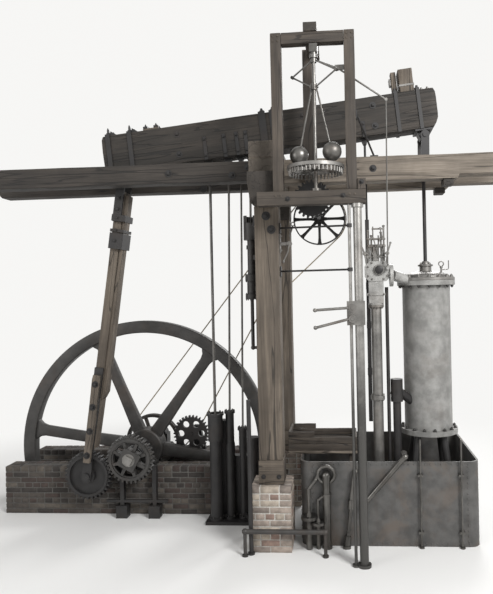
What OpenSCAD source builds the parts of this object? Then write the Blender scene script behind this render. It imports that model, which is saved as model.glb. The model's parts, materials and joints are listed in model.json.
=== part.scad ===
// A rotative house-built beam engine with sun-and-planet gear, on timber and brick framing.
// Right is +X, back is +Y, up is +Z. The origin is the middle of the front pier's foot on the floor.

/* [Framing] */
// Width of each king post along the engine
post_w = 282; // [220:2:340]
// Top of the king posts above the floor
post_top = 4000; // [3800:10:4200]
// Height of the brick piers under the king posts
pier_h = 755; // [600:5:900]
// Width of the brick piers along the engine
pier_w = 470; // [380:10:560]
// Depth of the brick piers across the engine
pier_d = 460; // [380:10:520]
// Height of the foot block between pier and post
foot_block_h = 280; // [200:5:340]
// Distance between the two king posts across the engine
post_gap = 1480; // [1440:5:1560]
// Depth of the head block on each post
head_h = 345; // [300:5:400]
// Width of the cross timbers along the engine
cross_w = 340; // [300:5:380]
// Depth of the lower cross timber
cross_lower_h = 185; // [150:5:220]
// Depth of the upper cross timber
cross_upper_h = 188; // [150:2:220]
// Width of each spring timber across the engine
spring_w = 230; // [180:5:280]
// Depth of each left spring timber
spring_h = 250; // [220:5:280]
// Extra depth of each right spring timber
spring_extra = 50; // [0:5:80]
// Reach of the spring timbers to the left of the posts
spring_left = 3930; // [3600:10:4200]
// Reach of the spring timbers to the right of the posts
spring_right = 2950; // [2700:10:3200]

/* [Great beam] */
// Centre plane of the beam across the engine
beam_y = 740; // [720:2:760]
// Depth of the beam
beam_h = 500; // [440:5:540]
// Width of the beam across the engine
beam_w = 300; // [260:5:320]
// Length of the beam on the rod side
beam_left = 2210; // [2150:5:2300]
// Length of the beam on the cylinder side
beam_right = 2150; // [2120:5:2250]
// Upward tilt of the cylinder end, in degrees
beam_tilt = 6; // [4:0.5:7]
// Diameter of the gudgeon
gudgeon_d = 76; // [60:2:90]
// Distance from the gudgeon to the rod pin along the beam
rod_pin_u = 2011; // [1980:1:2040]
// Distance from the gudgeon to the cylinder pin along the beam
cyl_pin_u = 1950; // [1900:5:2000]

/* [Sun and planet] */
// Distance from the posts' middle to the nearest point of the flywheel's rim
shaft_gap = 185; // [175:5:230]
// Height of the crank shaft above the floor
shaft_z = 820; // [790:5:850]
// Pitch radius of the sun wheel
sun_r = 304; // [290:2:320]
// Pitch radius of the planet wheel
planet_r = 304; // [290:2:320]
// Number of teeth on each wheel
gear_teeth = 32; // [24:4:40]
// Thickness of both toothed wheels
gear_w = 110; // [80:5:120]
// Direction from the shaft to the planet wheel, in degrees below the horizontal
planet_angle = 20.5; // [15:0.5:26]

/* [Flywheel] */
// Outer radius of the flywheel
wheel_r = 1800; // [1700:10:1860]
// Depth of the flywheel rim
rim_h = 172; // [140:4:200]
// Width of the flywheel rim across the engine
rim_w = 150; // [120:5:180]
// Centre plane of the flywheel
wheel_y = 1360; // [1340:5:1380]
// Width of a spoke at the rim
spoke_w = 150; // [110:5:180]
// Thickness of a spoke
spoke_t = 80; // [60:5:110]
// Diameter of the flywheel shaft
shaft_d = 170; // [150:5:200]

/* [Brick walls] */
// Height of the walls beside the wheel
wall_h = 645; // [600:5:680]
// Thickness of the walls beside the wheel
wall_t = 280; // [240:10:300]
// Left end of the walls
wall_left = 3860; // [3750:10:3950]
// Right end of the walls, left of the posts' middle
wall_right = 560; // [500:10:640]

/* [Governor] */
// Centre plane of the governor frame, in front of the posts
gov_y = -520; // [-540:5:-500]
// Distance of the governor spindle to the right of the posts' middle
gov_x = 608; // [590:2:620]
// Width of the governor frame's posts
gov_post = 118; // [100:2:130]
// Height of the frame's top edge above the floor
gov_top = 5812; // [5700:2:5900]
// Depth of the frame's sill
sill_h = 152; // [130:2:170]
// Top of the frame's sill above the floor
sill_top = 4085; // [4060:5:4110]
// Radius of each governor ball
ball_r = 104; // [90:2:115]
// Radius of the crown wheel
crown_r = 312; // [290:2:330]

/* [Cylinder] */
// Distance of the cylinder axis to the right of the posts' middle
cyl_x = 1936; // [1900:2:1960]
// Diameter of the cylinder's casing
cyl_d = 600; // [560:5:640]
// Diameter of the cylinder's flanges
cyl_flange_d = 727; // [690:1:760]
// Height of the cylinder's foot above the floor
cyl_foot = 1170; // [1120:5:1220]
// Height of the top of the cylinder's upper flange
cyl_top = 3160; // [3100:5:3220]
// Diameter of the piston rod
piston_d = 46; // [40:1:56]

/* [Cistern] */
// Left end of the cistern, right of the posts' middle
tank_left = 330; // [300:5:360]
// Right end of the cistern
tank_right = 2410; // [2380:5:2500]
// Height of the cistern
tank_h = 986; // [900:2:1050]
// Thickness of the cistern's plates
tank_t = 24; // [16:2:30]
// Radius of the cistern's upright corners
tank_r = 120; // [80:5:250]
// Front face of the cistern, behind the pier's middle plane
tank_front = -20; // [-40:2:0]
// Back face of the cistern
tank_back = 1500; // [1400:5:1600]

/* [Working handles] */
// Length of each working handle from its arbor
handle_len = 400; // [340:5:440]
// Diameter of each handle's grip
handle_d = 30; // [24:1:36]
// Diameter of the arbor that the handles turn on
arbor_d = 40; // [34:1:46]

/* [Hidden] */
$fn = 48;

// Colours
brick = "rosybrown";
oak = "saddlebrown";
pale_oak = "tan";
iron = "dimgray";
dark_iron = "darkslategray";
bright_iron = "silver";

// Gap where faces would touch on turned pieces
seat = 0.3;

// Derived levels
shaft_x = wheel_r + shaft_gap;
foot_block_top = pier_h + foot_block_h;
head_top = post_top + head_h;
cross_mid = head_top + cross_lower_h;
cross_top = cross_mid + cross_upper_h;
spring_top = cross_top - 93;
spring_bottom = spring_top - spring_h;
cross_front = -300;
cross_back = post_gap + 300;
spring_front_y = 290;
spring_rear_y = 2 * beam_y - spring_front_y - spring_w;
gudgeon_z = cross_top + gudgeon_d / 2 + 11;
saddle_t = 10;
beam_v = gudgeon_d / 2 + saddle_t;
beam_front = beam_y - beam_w / 2;
beam_back = beam_y + beam_w / 2;
sill_bottom = sill_top - sill_h;

// A point on the beam's centre plane: u along the beam, v square to it
function beam_pt(u, v) = [u * cos(beam_tilt) - v * sin(beam_tilt), gudgeon_z + u * sin(beam_tilt) + v * cos(beam_tilt)];

rod_pin_v = -40;
rod_pin = beam_pt(-rod_pin_u, rod_pin_v);
cyl_pin = beam_pt(cyl_pin_u, rod_pin_v);
planet_x = -shaft_x - (sun_r + planet_r) * cos(planet_angle);
planet_z = shaft_z - (sun_r + planet_r) * sin(planet_angle);

module block(x0, x1, y0, y1, z0, z1) {
    translate([x0, y0, z0]) cube([x1 - x0, y1 - y0, z1 - z0]);
}

// A round bar between two points
module bar(p, q, d) {
    v = q - p;
    n = norm(v);
    b = acos(v[2] / n);
    c = atan2(v[1], v[0]);
    translate(p) rotate([0, b, c]) cylinder(h = n, d = d);
}

// A round pin or disc across the engine, from y0 to y1
module pin(x, z, y0, y1, d) {
    translate([x, y0, z]) rotate([-90, 0, 0]) cylinder(h = y1 - y0, d = d);
}

// An outline in the X-Z plane, carried from y0 to y1
module slab(y0, y1) {
    translate([0, y1, 0]) rotate([90, 0, 0]) linear_extrude(y1 - y0) children();
}

// Turns children from the beam's own frame to its tilt about the gudgeon
module on_beam() {
    translate([0, 0, gudgeon_z]) rotate([0, -beam_tilt, 0]) children();
}

wheel_gap = 30;
rear_pier_left = wheel_r - shaft_x + wheel_gap;

module king_post_piers() {
    color(brick) {
        block(-pier_w / 2, pier_w / 2, -pier_d / 2, pier_d / 2, 0, pier_h);
        block(rear_pier_left, pier_w / 2, post_gap - pier_d / 2, post_gap + pier_d / 2, 0, pier_h);
    }
}

module post_foot_blocks() {
    color(pale_oak) for (y = [0, post_gap])
        block(-post_w / 2 - 6, post_w / 2 + 6, y - post_w / 2, y + post_w / 2, pier_h, foot_block_top);
}

module king_post(y) {
    block(-post_w / 2, post_w / 2, y - post_w / 2, y + post_w / 2, foot_block_top, post_top);
}

module king_post_front() {
    color(pale_oak) king_post(0);
}

module king_post_rear() {
    color(pale_oak) king_post(post_gap);
}

// Corbelled head: the left side curves out from the post to the cross timbers
module head_outline() {
    polygon([[-post_w / 2, post_top], [post_w / 2 + 6, post_top], [post_w / 2 + 6, head_top],
        [-cross_w / 2, head_top], [-cross_w / 2, head_top - 120], [-post_w / 2 - 8, post_top + 90]]);
}

module post_heads() {
    color(oak) {
        slab(gov_y + 75, post_w / 2) head_outline();
        slab(post_gap - post_w / 2, post_gap + post_w / 2) head_outline();
    }
}

module cross_timber_lower() {
    color(pale_oak) block(-cross_w / 2, cross_w / 2, cross_front, cross_back, head_top, cross_mid);
}

module cross_timber_upper() {
    color(pale_oak) block(-cross_w / 2, cross_w / 2, cross_front, cross_back, cross_mid, cross_top);
}

module spring_left_piece(y) {
    chamfer = 90;
    color(pale_oak) slab(y, y + spring_w) polygon([[-spring_left, spring_top], [-spring_left, spring_bottom + chamfer],
        [-spring_left + chamfer, spring_bottom], [-cross_w / 2, spring_bottom], [-cross_w / 2, spring_top]]);
}

module spring_right_piece(y) {
    color(pale_oak) block(cross_w / 2, spring_right, y, y + spring_w, spring_bottom - spring_extra, spring_top);
}

module spring_timber_front_left() {
    spring_left_piece(spring_front_y);
}

module spring_timber_front_right() {
    spring_right_piece(spring_front_y);
}

module spring_timber_rear_left() {
    spring_left_piece(spring_rear_y);
}

module spring_timber_rear_right() {
    spring_right_piece(spring_rear_y);
}

// Beam outline in its own frame: rounded left end, cut-back right end
module beam_outline() {
    polygon([[-beam_left + 30, beam_v], [beam_right - 70, beam_v], [beam_right - 8, beam_v + 110],
        [beam_right, beam_v + 150], [beam_right - 6, beam_v + beam_h - 20], [beam_right - 26, beam_v + beam_h],
        [-beam_left + 24, beam_v + beam_h], [-beam_left + 4, beam_v + beam_h - 60],
        [-beam_left, beam_v + beam_h / 2], [-beam_left + 6, beam_v + 60]]);
}

module great_beam() {
    color(oak) on_beam() slab(beam_front, beam_back) beam_outline();
}

bearing_w = 120;
bearing_gap = 30;

module beam_gudgeon() {
    color(dark_iron) on_beam() {
        block(-230, 230, beam_front, beam_back, beam_v - saddle_t, beam_v);
        pin(0, 0, beam_front - bearing_gap - bearing_w, beam_back + bearing_gap + bearing_w, gudgeon_d);
        slab(beam_front, beam_back) polygon([[-60, beam_v - saddle_t], [60, beam_v - saddle_t],
            [gudgeon_d / 2, 0], [-gudgeon_d / 2, 0]]);
    }
}

module bearing_block(y) {
    difference() {
        union() {
            block(-150, 150, y, y + bearing_w, cross_top, cross_top + 24);
            block(-75, 75, y, y + bearing_w, cross_top + 24, gudgeon_z + 40);
            pin(0, gudgeon_z + 20, y, y + bearing_w, 150);
        }
        pin(0, gudgeon_z, y - 1, y + bearing_w + 1, gudgeon_d + 2 * seat);
        block(-80, 80, y - 1, y + bearing_w + 1, cross_top - 80, cross_top);
    }
}

module gudgeon_bearings() {
    color(dark_iron) {
        bearing_block(beam_front - bearing_gap - bearing_w);
        bearing_block(beam_back + bearing_gap);
    }
}

strap_t = 12;

// A strap round the top and both sides of the beam, in the beam's frame
module beam_strap(u, w, bottom) {
    top = beam_v + beam_h;
    difference() {
        block(u - w / 2, u + w / 2, beam_front - strap_t, beam_back + strap_t, bottom, top + strap_t);
        block(u - w, u + w, beam_front, beam_back, bottom - 1, top);
    }
    for (y = [beam_front + 50, beam_back - 50]) translate([u, y, top + strap_t]) {
        cylinder(h = 26, d = 62, $fn = 6);
        cylinder(h = 52, d = 32);
    }
}

pin_d = 64;
link_over = 60;

module pin_block(u, over) {
    block(u - 110, u + 110, beam_front, beam_back, beam_v - 22, beam_v);
    slab(beam_y - 85, beam_y + 85) polygon([[u - 80, beam_v - 22], [u + 80, beam_v - 22],
        [u + 45, rod_pin_v - 30], [u - 45, rod_pin_v - 30]]);
    pin(u, rod_pin_v, beam_front - over, beam_back + over, pin_d);
}

// Two cheeks and a pin under the beam for a pump rod
module rod_hanger(u) {
    block(u - 50, u + 50, beam_y - 60, beam_y + 60, beam_v - 12, beam_v);
    for (s = [-1, 1]) slab(beam_y + s * 28 - 8, beam_y + s * 28 + 8) polygon([[u - 40, beam_v - 12],
        [u + 40, beam_v - 12], [u + 22, beam_v - rod_pin_drop - 24], [u - 22, beam_v - rod_pin_drop - 24]]);
    pin(u, beam_v - rod_pin_drop, beam_y - 40, beam_y + 40, 24 - 2 * seat);
}

module beam_straps() {
    color(dark_iron) on_beam() {
        for (u = [-beam_left + 90, -beam_left + 380]) beam_strap(u, 60, beam_v + 40);
        beam_strap(-70, 90, beam_v);
        beam_strap(70, 90, beam_v);
        for (u = catch_strap_us) beam_strap(u, catch_strap_w, beam_v);
        pin_block(-rod_pin_u, 10);
        pin_block(cyl_pin_u, link_over);
        for (u = concat(pump_us, [plug_u])) rod_hanger(u);
    }
}

catch_strap_us = [1650, 1930];
catch_strap_w = 44;
catch_h = 290;
strap_nut_room = 34;

module beam_catch_blocks() {
    top = beam_v + beam_h;
    u0 = catch_strap_us[0];
    color(oak) on_beam() {
        block(u0 - catch_strap_w / 2, u0 + catch_strap_w, beam_front + 90, beam_back - 90, top + strap_t,
            top + catch_h);
        block(u0 + catch_strap_w + 22, catch_strap_us[1] - strap_nut_room, beam_front + 20, beam_back - 20, top,
            top + catch_h);
        block(-beam_left + 560, -beam_left + 760, beam_front + 40, beam_back - 40, top, top + 30);
    }
}

rod_w = 116;
rod_foot_w = 92;
stiff_z = 1030;
stiff_out = 50;
rod_depth = 200;
rod_vec = [rod_pin[0] - planet_x, rod_pin[1] - planet_z];
rod_len = norm(rod_vec);
rod_lean = atan2(rod_vec[0], rod_vec[1]);
gear_y0 = 640;
gear_y1 = gear_y0 + gear_w;

// Turns children from a frame with the planet's centre at z 0 and the rod pin straight above
module on_rod() {
    translate([planet_x, 0, planet_z]) rotate([0, rod_lean, 0]) children();
}

fork_gap = 90;

shoe_t = 36;
axle_d = 100;

rod_foot = planet_r + 60;
cleat_top = 1300;
cleat_foot = 200;
cleat_t = 58;

module connecting_rod() {
    w = rod_w / 2;
    foot = rod_foot_w / 2;
    y_plate = gear_y0 - shoe_t - seat;
    color(pale_oak) on_rod() {
        slab(beam_y - rod_depth / 2, beam_y + rod_depth / 2) polygon([[-foot, rod_foot], [foot, rod_foot],
            [w, stiff_z], [w, rod_len - 160], [-w, rod_len - 160], [-w, stiff_z]]);
        slab(beam_y - 80, beam_y + 80) polygon([[w, stiff_z], [w + 12, stiff_z],
            [w + stiff_out, stiff_z + 90], [w + stiff_out, rod_len - 200], [w, rod_len - 200]]);
        slab(y_plate - cleat_t, y_plate) polygon([[-foot, cleat_foot], [foot, cleat_foot], [w - 3, cleat_top],
            [w - 12, cleat_top + 60], [-w + 12, cleat_top + 60], [-w + 3, cleat_top]]);
    }
}

module rod_irons() {
    y_in = rod_depth / 2 + seat;
    w = rod_w / 2;
    foot = rod_foot_w / 2;
    color(dark_iron) on_rod() {
        for (s = [-1, 1]) difference() {
            union() {
                ya = beam_y + s * y_in;
                yb = beam_y + s * (y_in + 40);
                block(-55, 55, min(ya, yb), max(ya, yb), rod_len - 560, rod_len);
                pin(0, rod_len, min(ya, yb), max(ya, yb), 110);
            }
            pin(0, rod_len, beam_y - 200, beam_y + 200, pin_d + 2 * seat);
        }
        difference() {
            slab(gear_y0 - shoe_t, gear_y0 - seat) polygon([[-62, -50], [-30, -80], [30, -80], [62, -50], [62, 90],
                [foot, 260], [w, cleat_top + 150], [-w, cleat_top + 150], [-foot, 260], [-62, 90]]);
            pin(0, 0, gear_y0 - 100, gear_y0 + 100, axle_d);
        }
    }
}

tooth_in = 18;
tooth_out = 14;

// A spur wheel with straight-sided teeth and a bored hub, in the X-Z plane about a centre
module spur(x, z, r, teeth, y0, y1, bore, turn) {
    root = r - tooth_in;
    half = 180 / teeth;
    difference() {
        translate([x, y1, z]) rotate([90, turn, 0]) linear_extrude(y1 - y0)
            union() {
                circle(r = root, $fn = 96);
                for (i = [0:teeth - 1]) rotate(i * 360 / teeth)
                    polygon([[root - 4, -r * sin(half * 0.62)], [r + tooth_out, -r * sin(half * 0.3)],
                        [r + tooth_out, r * sin(half * 0.3)], [root - 4, r * sin(half * 0.62)]]);
            }
        pin(x, z, y0 - 1, y1 + 1, bore);
    }
}

ring_r = 276;
ring_w = 33;
ring_t = 15;
web_in = 30;

module planet_wheel() {
    color(dark_iron) {
        difference() {
            spur(planet_x, planet_z, planet_r - 2, gear_teeth, gear_y0 + ring_t, gear_y1, axle_d, -planet_angle);
            difference() {
                pin(planet_x, planet_z, gear_y0, gear_y0 + ring_t + web_in, 2 * (ring_r - ring_w));
                pin(planet_x, planet_z, gear_y0 - 1, gear_y1, 200);
            }
        }
        difference() {
            pin(planet_x, planet_z, gear_y0, gear_y0 + ring_t + 1, 2 * ring_r);
            pin(planet_x, planet_z, gear_y0 - 1, gear_y1, 2 * (ring_r - ring_w));
        }
        difference() {
            pin(planet_x, planet_z, gear_y0, gear_y1 - 10, 190);
            pin(planet_x, planet_z, gear_y0 - 1, gear_y1, axle_d);
        }
    }
}

hub_turn = 27.7;
sun_hub = 245;

module sun_wheel() {
    turn = -(180 + planet_angle + 180 / gear_teeth);
    color(iron) difference() {
        union() {
            difference() {
                spur(-shaft_x, shaft_z, sun_r - 2, gear_teeth, gear_y0 + ring_t, gear_y1, shaft_d, turn);
                pin(-shaft_x, shaft_z, gear_y0 - 1, gear_y1 + 1, 2 * (ring_r - ring_w - 20));
            }
            difference() {
                pin(-shaft_x, shaft_z, gear_y0, gear_y0 + ring_t + 1, 2 * ring_r);
                pin(-shaft_x, shaft_z, gear_y0 - 1, gear_y1, 2 * (ring_r - ring_w));
            }
            for (a = [0:45:359]) translate([-shaft_x, 0, shaft_z]) rotate([0, a + hub_turn, 0])
                slab(gear_y0 + 5, gear_y1 - 15)
                    polygon([[90, -26], [ring_r - ring_w - 10, -17], [ring_r - ring_w - 10, 17], [90, 26]]);
            translate([-shaft_x, 0, shaft_z]) rotate([0, hub_turn, 0])
                block(-sun_hub / 2, sun_hub / 2, gear_y0 - 28, gear_y1, -sun_hub / 2, sun_hub / 2);
        }
        pin(-shaft_x, shaft_z, gear_y0 - 40, gear_y1 + 1, shaft_d + 2 * seat);
    }
}

link_t = 36;

module sun_planet_link() {
    y0 = gear_y1 + seat;
    y1 = y0 + link_t;
    color(iron) {
        difference() {
            union() {
                pin(planet_x, planet_z, y0, y1, 170);
                pin(-shaft_x, shaft_z, y0, y1, 280);
                slab(y0, y1) polygon([[planet_x, planet_z + 80], [-shaft_x, shaft_z + 120], [-shaft_x, shaft_z - 120],
                    [planet_x, planet_z - 80]]);
            }
            pin(-shaft_x, shaft_z, y0 - 1, y1 + 1, shaft_d + 2 * seat);
        }
        pin(planet_x, planet_z, gear_y0 - shoe_t - 24, y0, axle_d - 2 * seat);
    }
}

// Rim, six spokes and hub, cut at the floor
module flywheel() {
    hub_r = 260;
    color(iron) difference() {
        union() {
            translate([-shaft_x, wheel_y, shaft_z]) rotate([-90, 0, 0]) translate([0, 0, -rim_w / 2])
                difference() {
                    cylinder(h = rim_w, r = wheel_r, $fn = 144);
                    translate([0, 0, -1]) cylinder(h = rim_w + 2, r = wheel_r - rim_h, $fn = 144);
                }
            for (a = [-9, 54, 113, 171, 234, 293]) translate([-shaft_x, 0, shaft_z]) rotate([0, -a, 0])
                slab(wheel_y - spoke_t / 2, wheel_y + spoke_t / 2)
                    polygon([[hub_r - 60, -95], [wheel_r - rim_h - 120, -spoke_w / 2],
                        [wheel_r - rim_h + 20, -spoke_w], [wheel_r - rim_h + 20, spoke_w],
                        [wheel_r - rim_h - 120, spoke_w / 2], [hub_r - 60, 95]]);
            pin(-shaft_x, shaft_z, wheel_y - 130, wheel_y + 130, 2 * hub_r);
        }
        pin(-shaft_x, shaft_z, wheel_y - 200, wheel_y + 200, shaft_d + 2 * seat);
        block(-2 * wheel_r - shaft_x, 0, 0, 2 * wheel_y, -2 * wheel_r, 0);
    }
}

wall_front = 940;
rear_wall_front = 1800;

module flywheel_shaft() {
    stub = 105;
    color(bright_iron) {
        pin(-shaft_x, shaft_z, gear_y0 - 26, rear_wall_front + wall_t - 20, shaft_d);
        translate([-shaft_x, 0, shaft_z]) rotate([0, hub_turn, 0])
            block(-stub / 2, stub / 2, gear_y0 - 62, gear_y0 - 25, -stub / 2, stub / 2);
    }
}

module shaft_bearing(y) {
    difference() {
        union() {
            block(-shaft_x - 240, -shaft_x + 240, y, y + 170, wall_h, wall_h + 40);
            block(-shaft_x - 150, -shaft_x + 150, y, y + 170, wall_h + 40, shaft_z + 60);
            pin(-shaft_x, shaft_z + 40, y, y + 170, 260);
        }
        pin(-shaft_x, shaft_z, y - 1, y + 171, shaft_d + 2 * seat);
    }
}

module shaft_bearings() {
    color(dark_iron) {
        shaft_bearing(wall_front + 50);
        shaft_bearing(rear_wall_front + 50);
    }
}

module wheel_wall_front() {
    color(brick) block(-wall_left, -wall_right, wall_front, wall_front + wall_t, 0, wall_h);
}

module wheel_wall_rear() {
    color(brick) block(-wall_left, -wall_right, rear_wall_front, rear_wall_front + wall_t, 0, wall_h);
}

stand_y0 = 800;
stand_y1 = 880;
stand_xs = [-shaft_x - 165, -shaft_x + 280];

module outboard_stand() {
    color(dark_iron) {
        for (x = stand_xs) {
            block(x - 75, x + 75, 770, 900, 0, 165);
            block(x - 26, x + 26, stand_y0, stand_y1, 165, 640);
        }
        difference() {
            block(stand_xs[0] - 215, stand_xs[1] + 180, stand_y0, stand_y0 + 30, 205, 240);
            for (x = stand_xs) block(x - 26, x + 26, stand_y0 - 1, stand_y1, 165, 640);
        }
        difference() {
            union() {
                block(stand_xs[0] - 26, stand_xs[1] + 26, stand_y0, stand_y1, 640, 690);
                block(-shaft_x - 140, -shaft_x + 140, stand_y0, stand_y1, 690, shaft_z);
                pin(-shaft_x, shaft_z, stand_y0, stand_y1, 280);
            }
            pin(-shaft_x, shaft_z, stand_y0 - 1, stand_y1 + 1, shaft_d + 2 * seat);
        }
    }
}

drum_y = 1620;
rope_y = 1660;
drum_r = 400;
groove = 20;

module rope_drum() {
    color(iron) difference() {
        union() {
            difference() {
                pin(-shaft_x, shaft_z, drum_y, drum_y + 80, 2 * drum_r);
                pin(-shaft_x, shaft_z, drum_y - 1, drum_y + 81, 2 * (drum_r - groove - 24));
            }
            for (a = [0:60:359]) translate([-shaft_x, 0, shaft_z]) rotate([0, a + 12, 0])
                block(100, drum_r - groove - 14, drum_y + 25, drum_y + 55, -24, 24);
            pin(-shaft_x, shaft_z, drum_y - 10, drum_y + 90, shaft_d + 90);
        }
        pin(-shaft_x, shaft_z, drum_y - 20, drum_y + 100, shaft_d + 2 * seat);
        difference() {
            pin(-shaft_x, shaft_z, drum_y + 26, drum_y + 54, 2 * drum_r + 30);
            pin(-shaft_x, shaft_z, drum_y - 1, drum_y + 81, 2 * (drum_r - groove));
        }
    }
}

pulley_r = 377;
gov_shaft_z = sill_top - 45;

module rope_pulley() {
    x = gov_x - gov_shaft_dx;
    color(dark_iron) {
        difference() {
            union() {
                difference() {
                    pin(x, gov_shaft_z, drum_y + 10, drum_y + 70, 2 * pulley_r);
                    pin(x, gov_shaft_z, drum_y, drum_y + 80, 2 * pulley_r - 36);
                }
                for (a = [0:45:359]) translate([x, 0, gov_shaft_z]) rotate([0, a, 0])
                    block(50, pulley_r - 8, drum_y + 25, drum_y + 55, -14, 14);
                pin(x, gov_shaft_z, drum_y, drum_y + 80, 130);
            }
            pin(x, gov_shaft_z, drum_y - 1, drum_y + 81, gov_shaft_d + 2 * seat);
        }
        pin(guide_x, guide_z, rope_y - 18, rope_y + 18, 2 * sheave_r);
        pin(guide_x, guide_z, guide_back - 30, rope_y - 18, 30);
        block(guide_x - 30, -post_w / 2 - seat, guide_back - 60, guide_back - 20, guide_z - 30, guide_z + 30);
        block(-post_w / 2 - seat - 12, -post_w / 2 - seat, guide_back - 130, guide_back - 20, guide_z - 110, guide_z + 110);
    }
}

rope_d = 20;

sheave_r = 60;
guide_x = -295;
guide_z = 2645;
guide_back = post_gap + post_w / 2;
rope_path_r = rope_d / 2 + 1;

// Heading of the rope between two wheels; a wheel is [centre, radius, +1 if the rope turns left round it, else -1]
function heading(a, b) = let(d = b[0] - a[0])
    atan2(d[1], d[0]) - asin((b[2] * b[1] - a[2] * a[1]) / norm(d));

// Where a rope with heading t touches wheel a
function touch(a, t) = a[0] + a[2] * a[1] * [sin(t), -cos(t)];

module rope_run(a, b) {
    t = heading(a, b);
    p = touch(a, t);
    translate([p[0], rope_y, p[1]]) rotate([0, 90 - t, 0])
        cylinder(h = norm(touch(b, t) - p), d = rope_d, $fn = 12);
}

module rope_turn(a, b, c) {
    t0 = heading(a, b);
    t1 = heading(b, c);
    sweep = b[2] > 0 ? (t1 - t0 + 360) % 360 : (t0 - t1 + 360) % 360;
    start = b[2] > 0 ? t0 - 90 : t1 + 90;
    translate([b[0][0], rope_y, b[0][1]]) rotate([90, 0, 0]) rotate([0, 0, start])
        rotate_extrude(angle = sweep) translate([b[1], 0]) circle(d = rope_d, $fn = 12);
}

module governor_rope() {
    drum = [[-shaft_x, shaft_z], drum_r - groove + rope_path_r, 1];
    guide = [[guide_x, guide_z], sheave_r + rope_path_r, -1];
    counter = [[counter_x, counter_z], counter_pulley_d / 2 + rope_path_r, 1];
    top = [[gov_x - gov_shaft_dx, gov_shaft_z], pulley_r + rope_path_r, 1];
    color("wheat") {
        rope_run(drum, counter);
        rope_turn(drum, counter, guide);
        rope_run(counter, guide);
        rope_turn(counter, guide, top);
        rope_run(guide, top);
        rope_turn(guide, top, drum);
        rope_run(top, drum);
        rope_turn(top, drum, counter);
    }
}

counter_x = -shaft_x + 613;
counter_z = shaft_z + 143;
counter_pulley_d = 84;
counter_r = 248;
counter_shaft_d = 44;

module counter_gear() {
    foot = 130;
    y0 = rear_wall_front + 20;
    color(dark_iron) {
        difference() {
            spur(counter_x, counter_z, counter_r, 30, 1500, 1550, counter_shaft_d + 2 * seat, 0);
            for (a = [0:60:359]) pin(counter_x + 150 * cos(a), counter_z + 150 * sin(a), 1400, 1600, 96);
        }
        pin(counter_x, counter_z, 1480, y0 + 100, counter_shaft_d);
        difference() {
            pin(counter_x, counter_z, rope_y - 26, rope_y + 26, counter_pulley_d + 36);
            pin(counter_x, counter_z, rope_y - 30, rope_y + 30, counter_shaft_d + 2 * seat);
            difference() {
                pin(counter_x, counter_z, rope_y - 13, rope_y + 13, counter_pulley_d + 40);
                pin(counter_x, counter_z, rope_y - 14, rope_y + 14, counter_pulley_d);
            }
        }
        difference() {
            slab(y0, y0 + 80) polygon([[counter_x - foot, wall_h], [counter_x + foot, wall_h],
                [counter_x + foot, wall_h + 30], [counter_x + 45, counter_z + 50], [counter_x - 45, counter_z + 50],
                [counter_x - foot, wall_h + 30]]);
            pin(counter_x, counter_z, 1400, 2000, counter_shaft_d + 2 * seat);
        }
    }
}

pump_x = -830;
pump_y = 680;
air_pump_x = -650;
hot_pump_x = -480;

bore_deep = 120;
bore_wall = 25;
cold_top = 1425;
cold_neck = 194;
air_top = 1440;
air_neck = 110;
hot_top = 1220;
hot_neck = 104;
feed_bore = 160;
feed_seat_z = 3820;

module barrel(h, d, upper, upper_d) {
    difference() {
        union() {
            cylinder(h = 30, d = d + 44);
            cylinder(h = h - upper, d = d);
            translate([0, 0, h - upper]) cylinder(h = upper, d = upper_d);
            translate([0, 0, h - 28]) cylinder(h = 28, d = upper_d + 30);
        }
        translate([0, 0, h - bore_deep]) cylinder(h = 200, d = upper_d - 2 * bore_wall);
    }
}

// A pump's plunger, in the bore of a barrel that ends at top
module plunger(x, y, top, upper_d) {
    translate([x, y, top - bore_deep + seat]) {
        cylinder(h = 50, d = upper_d - 2 * bore_wall - 2 * seat);
        cylinder(h = 86, d = (upper_d - 2 * bore_wall) * 0.86);
    }
}

pump_bed_t = 40;

module cold_water_pump() {
    color(dark_iron) translate([pump_x, pump_y, pump_bed_t]) barrel(cold_top - pump_bed_t, 160, 360, cold_neck);
}

rod_eye_d = 56;
rod_eye_w = 30;
rod_pin_drop = 45;
pump_us = [-850, -595, -430, -310];
plug_u = 1200;

// The eye's place on the beam for a rod that hangs at u
function rod_eye(u) = beam_pt(u, beam_v - rod_pin_drop);

module pump_rod(u, foot, d) {
    e = rod_eye(u);
    difference() {
        union() {
            bar(foot, [e[0], beam_y, e[1]], d);
            pin(e[0], e[1], beam_y - rod_eye_w / 2, beam_y + rod_eye_w / 2, rod_eye_d);
        }
        pin(e[0], e[1], beam_y - 40, beam_y + 40, 24);
    }
}

module pump_rods() {
    color(bright_iron) {
        pump_rod(pump_us[0], [pump_x, pump_y, cold_top - bore_deep + 20], 36);
        plunger(pump_x, pump_y, cold_top, cold_neck);
        pump_rod(pump_us[1], [air_pump_x, beam_y, air_top - bore_deep + 12], 28);
        plunger(air_pump_x, beam_y, air_top, air_neck);
        pump_rod(pump_us[2], [hot_pump_x, beam_y, hot_top - bore_deep + 12], 26);
        plunger(hot_pump_x, beam_y, hot_top, hot_neck);
        pump_rod(pump_us[3], [feed_x, beam_y, feed_seat_z + 12], 30);
        translate([feed_x, beam_y, feed_seat_z + seat]) cylinder(h = 60, d = feed_bore - 2 * seat);
    }
}

tank_y0 = 806;
tank_y1 = 926;

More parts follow.
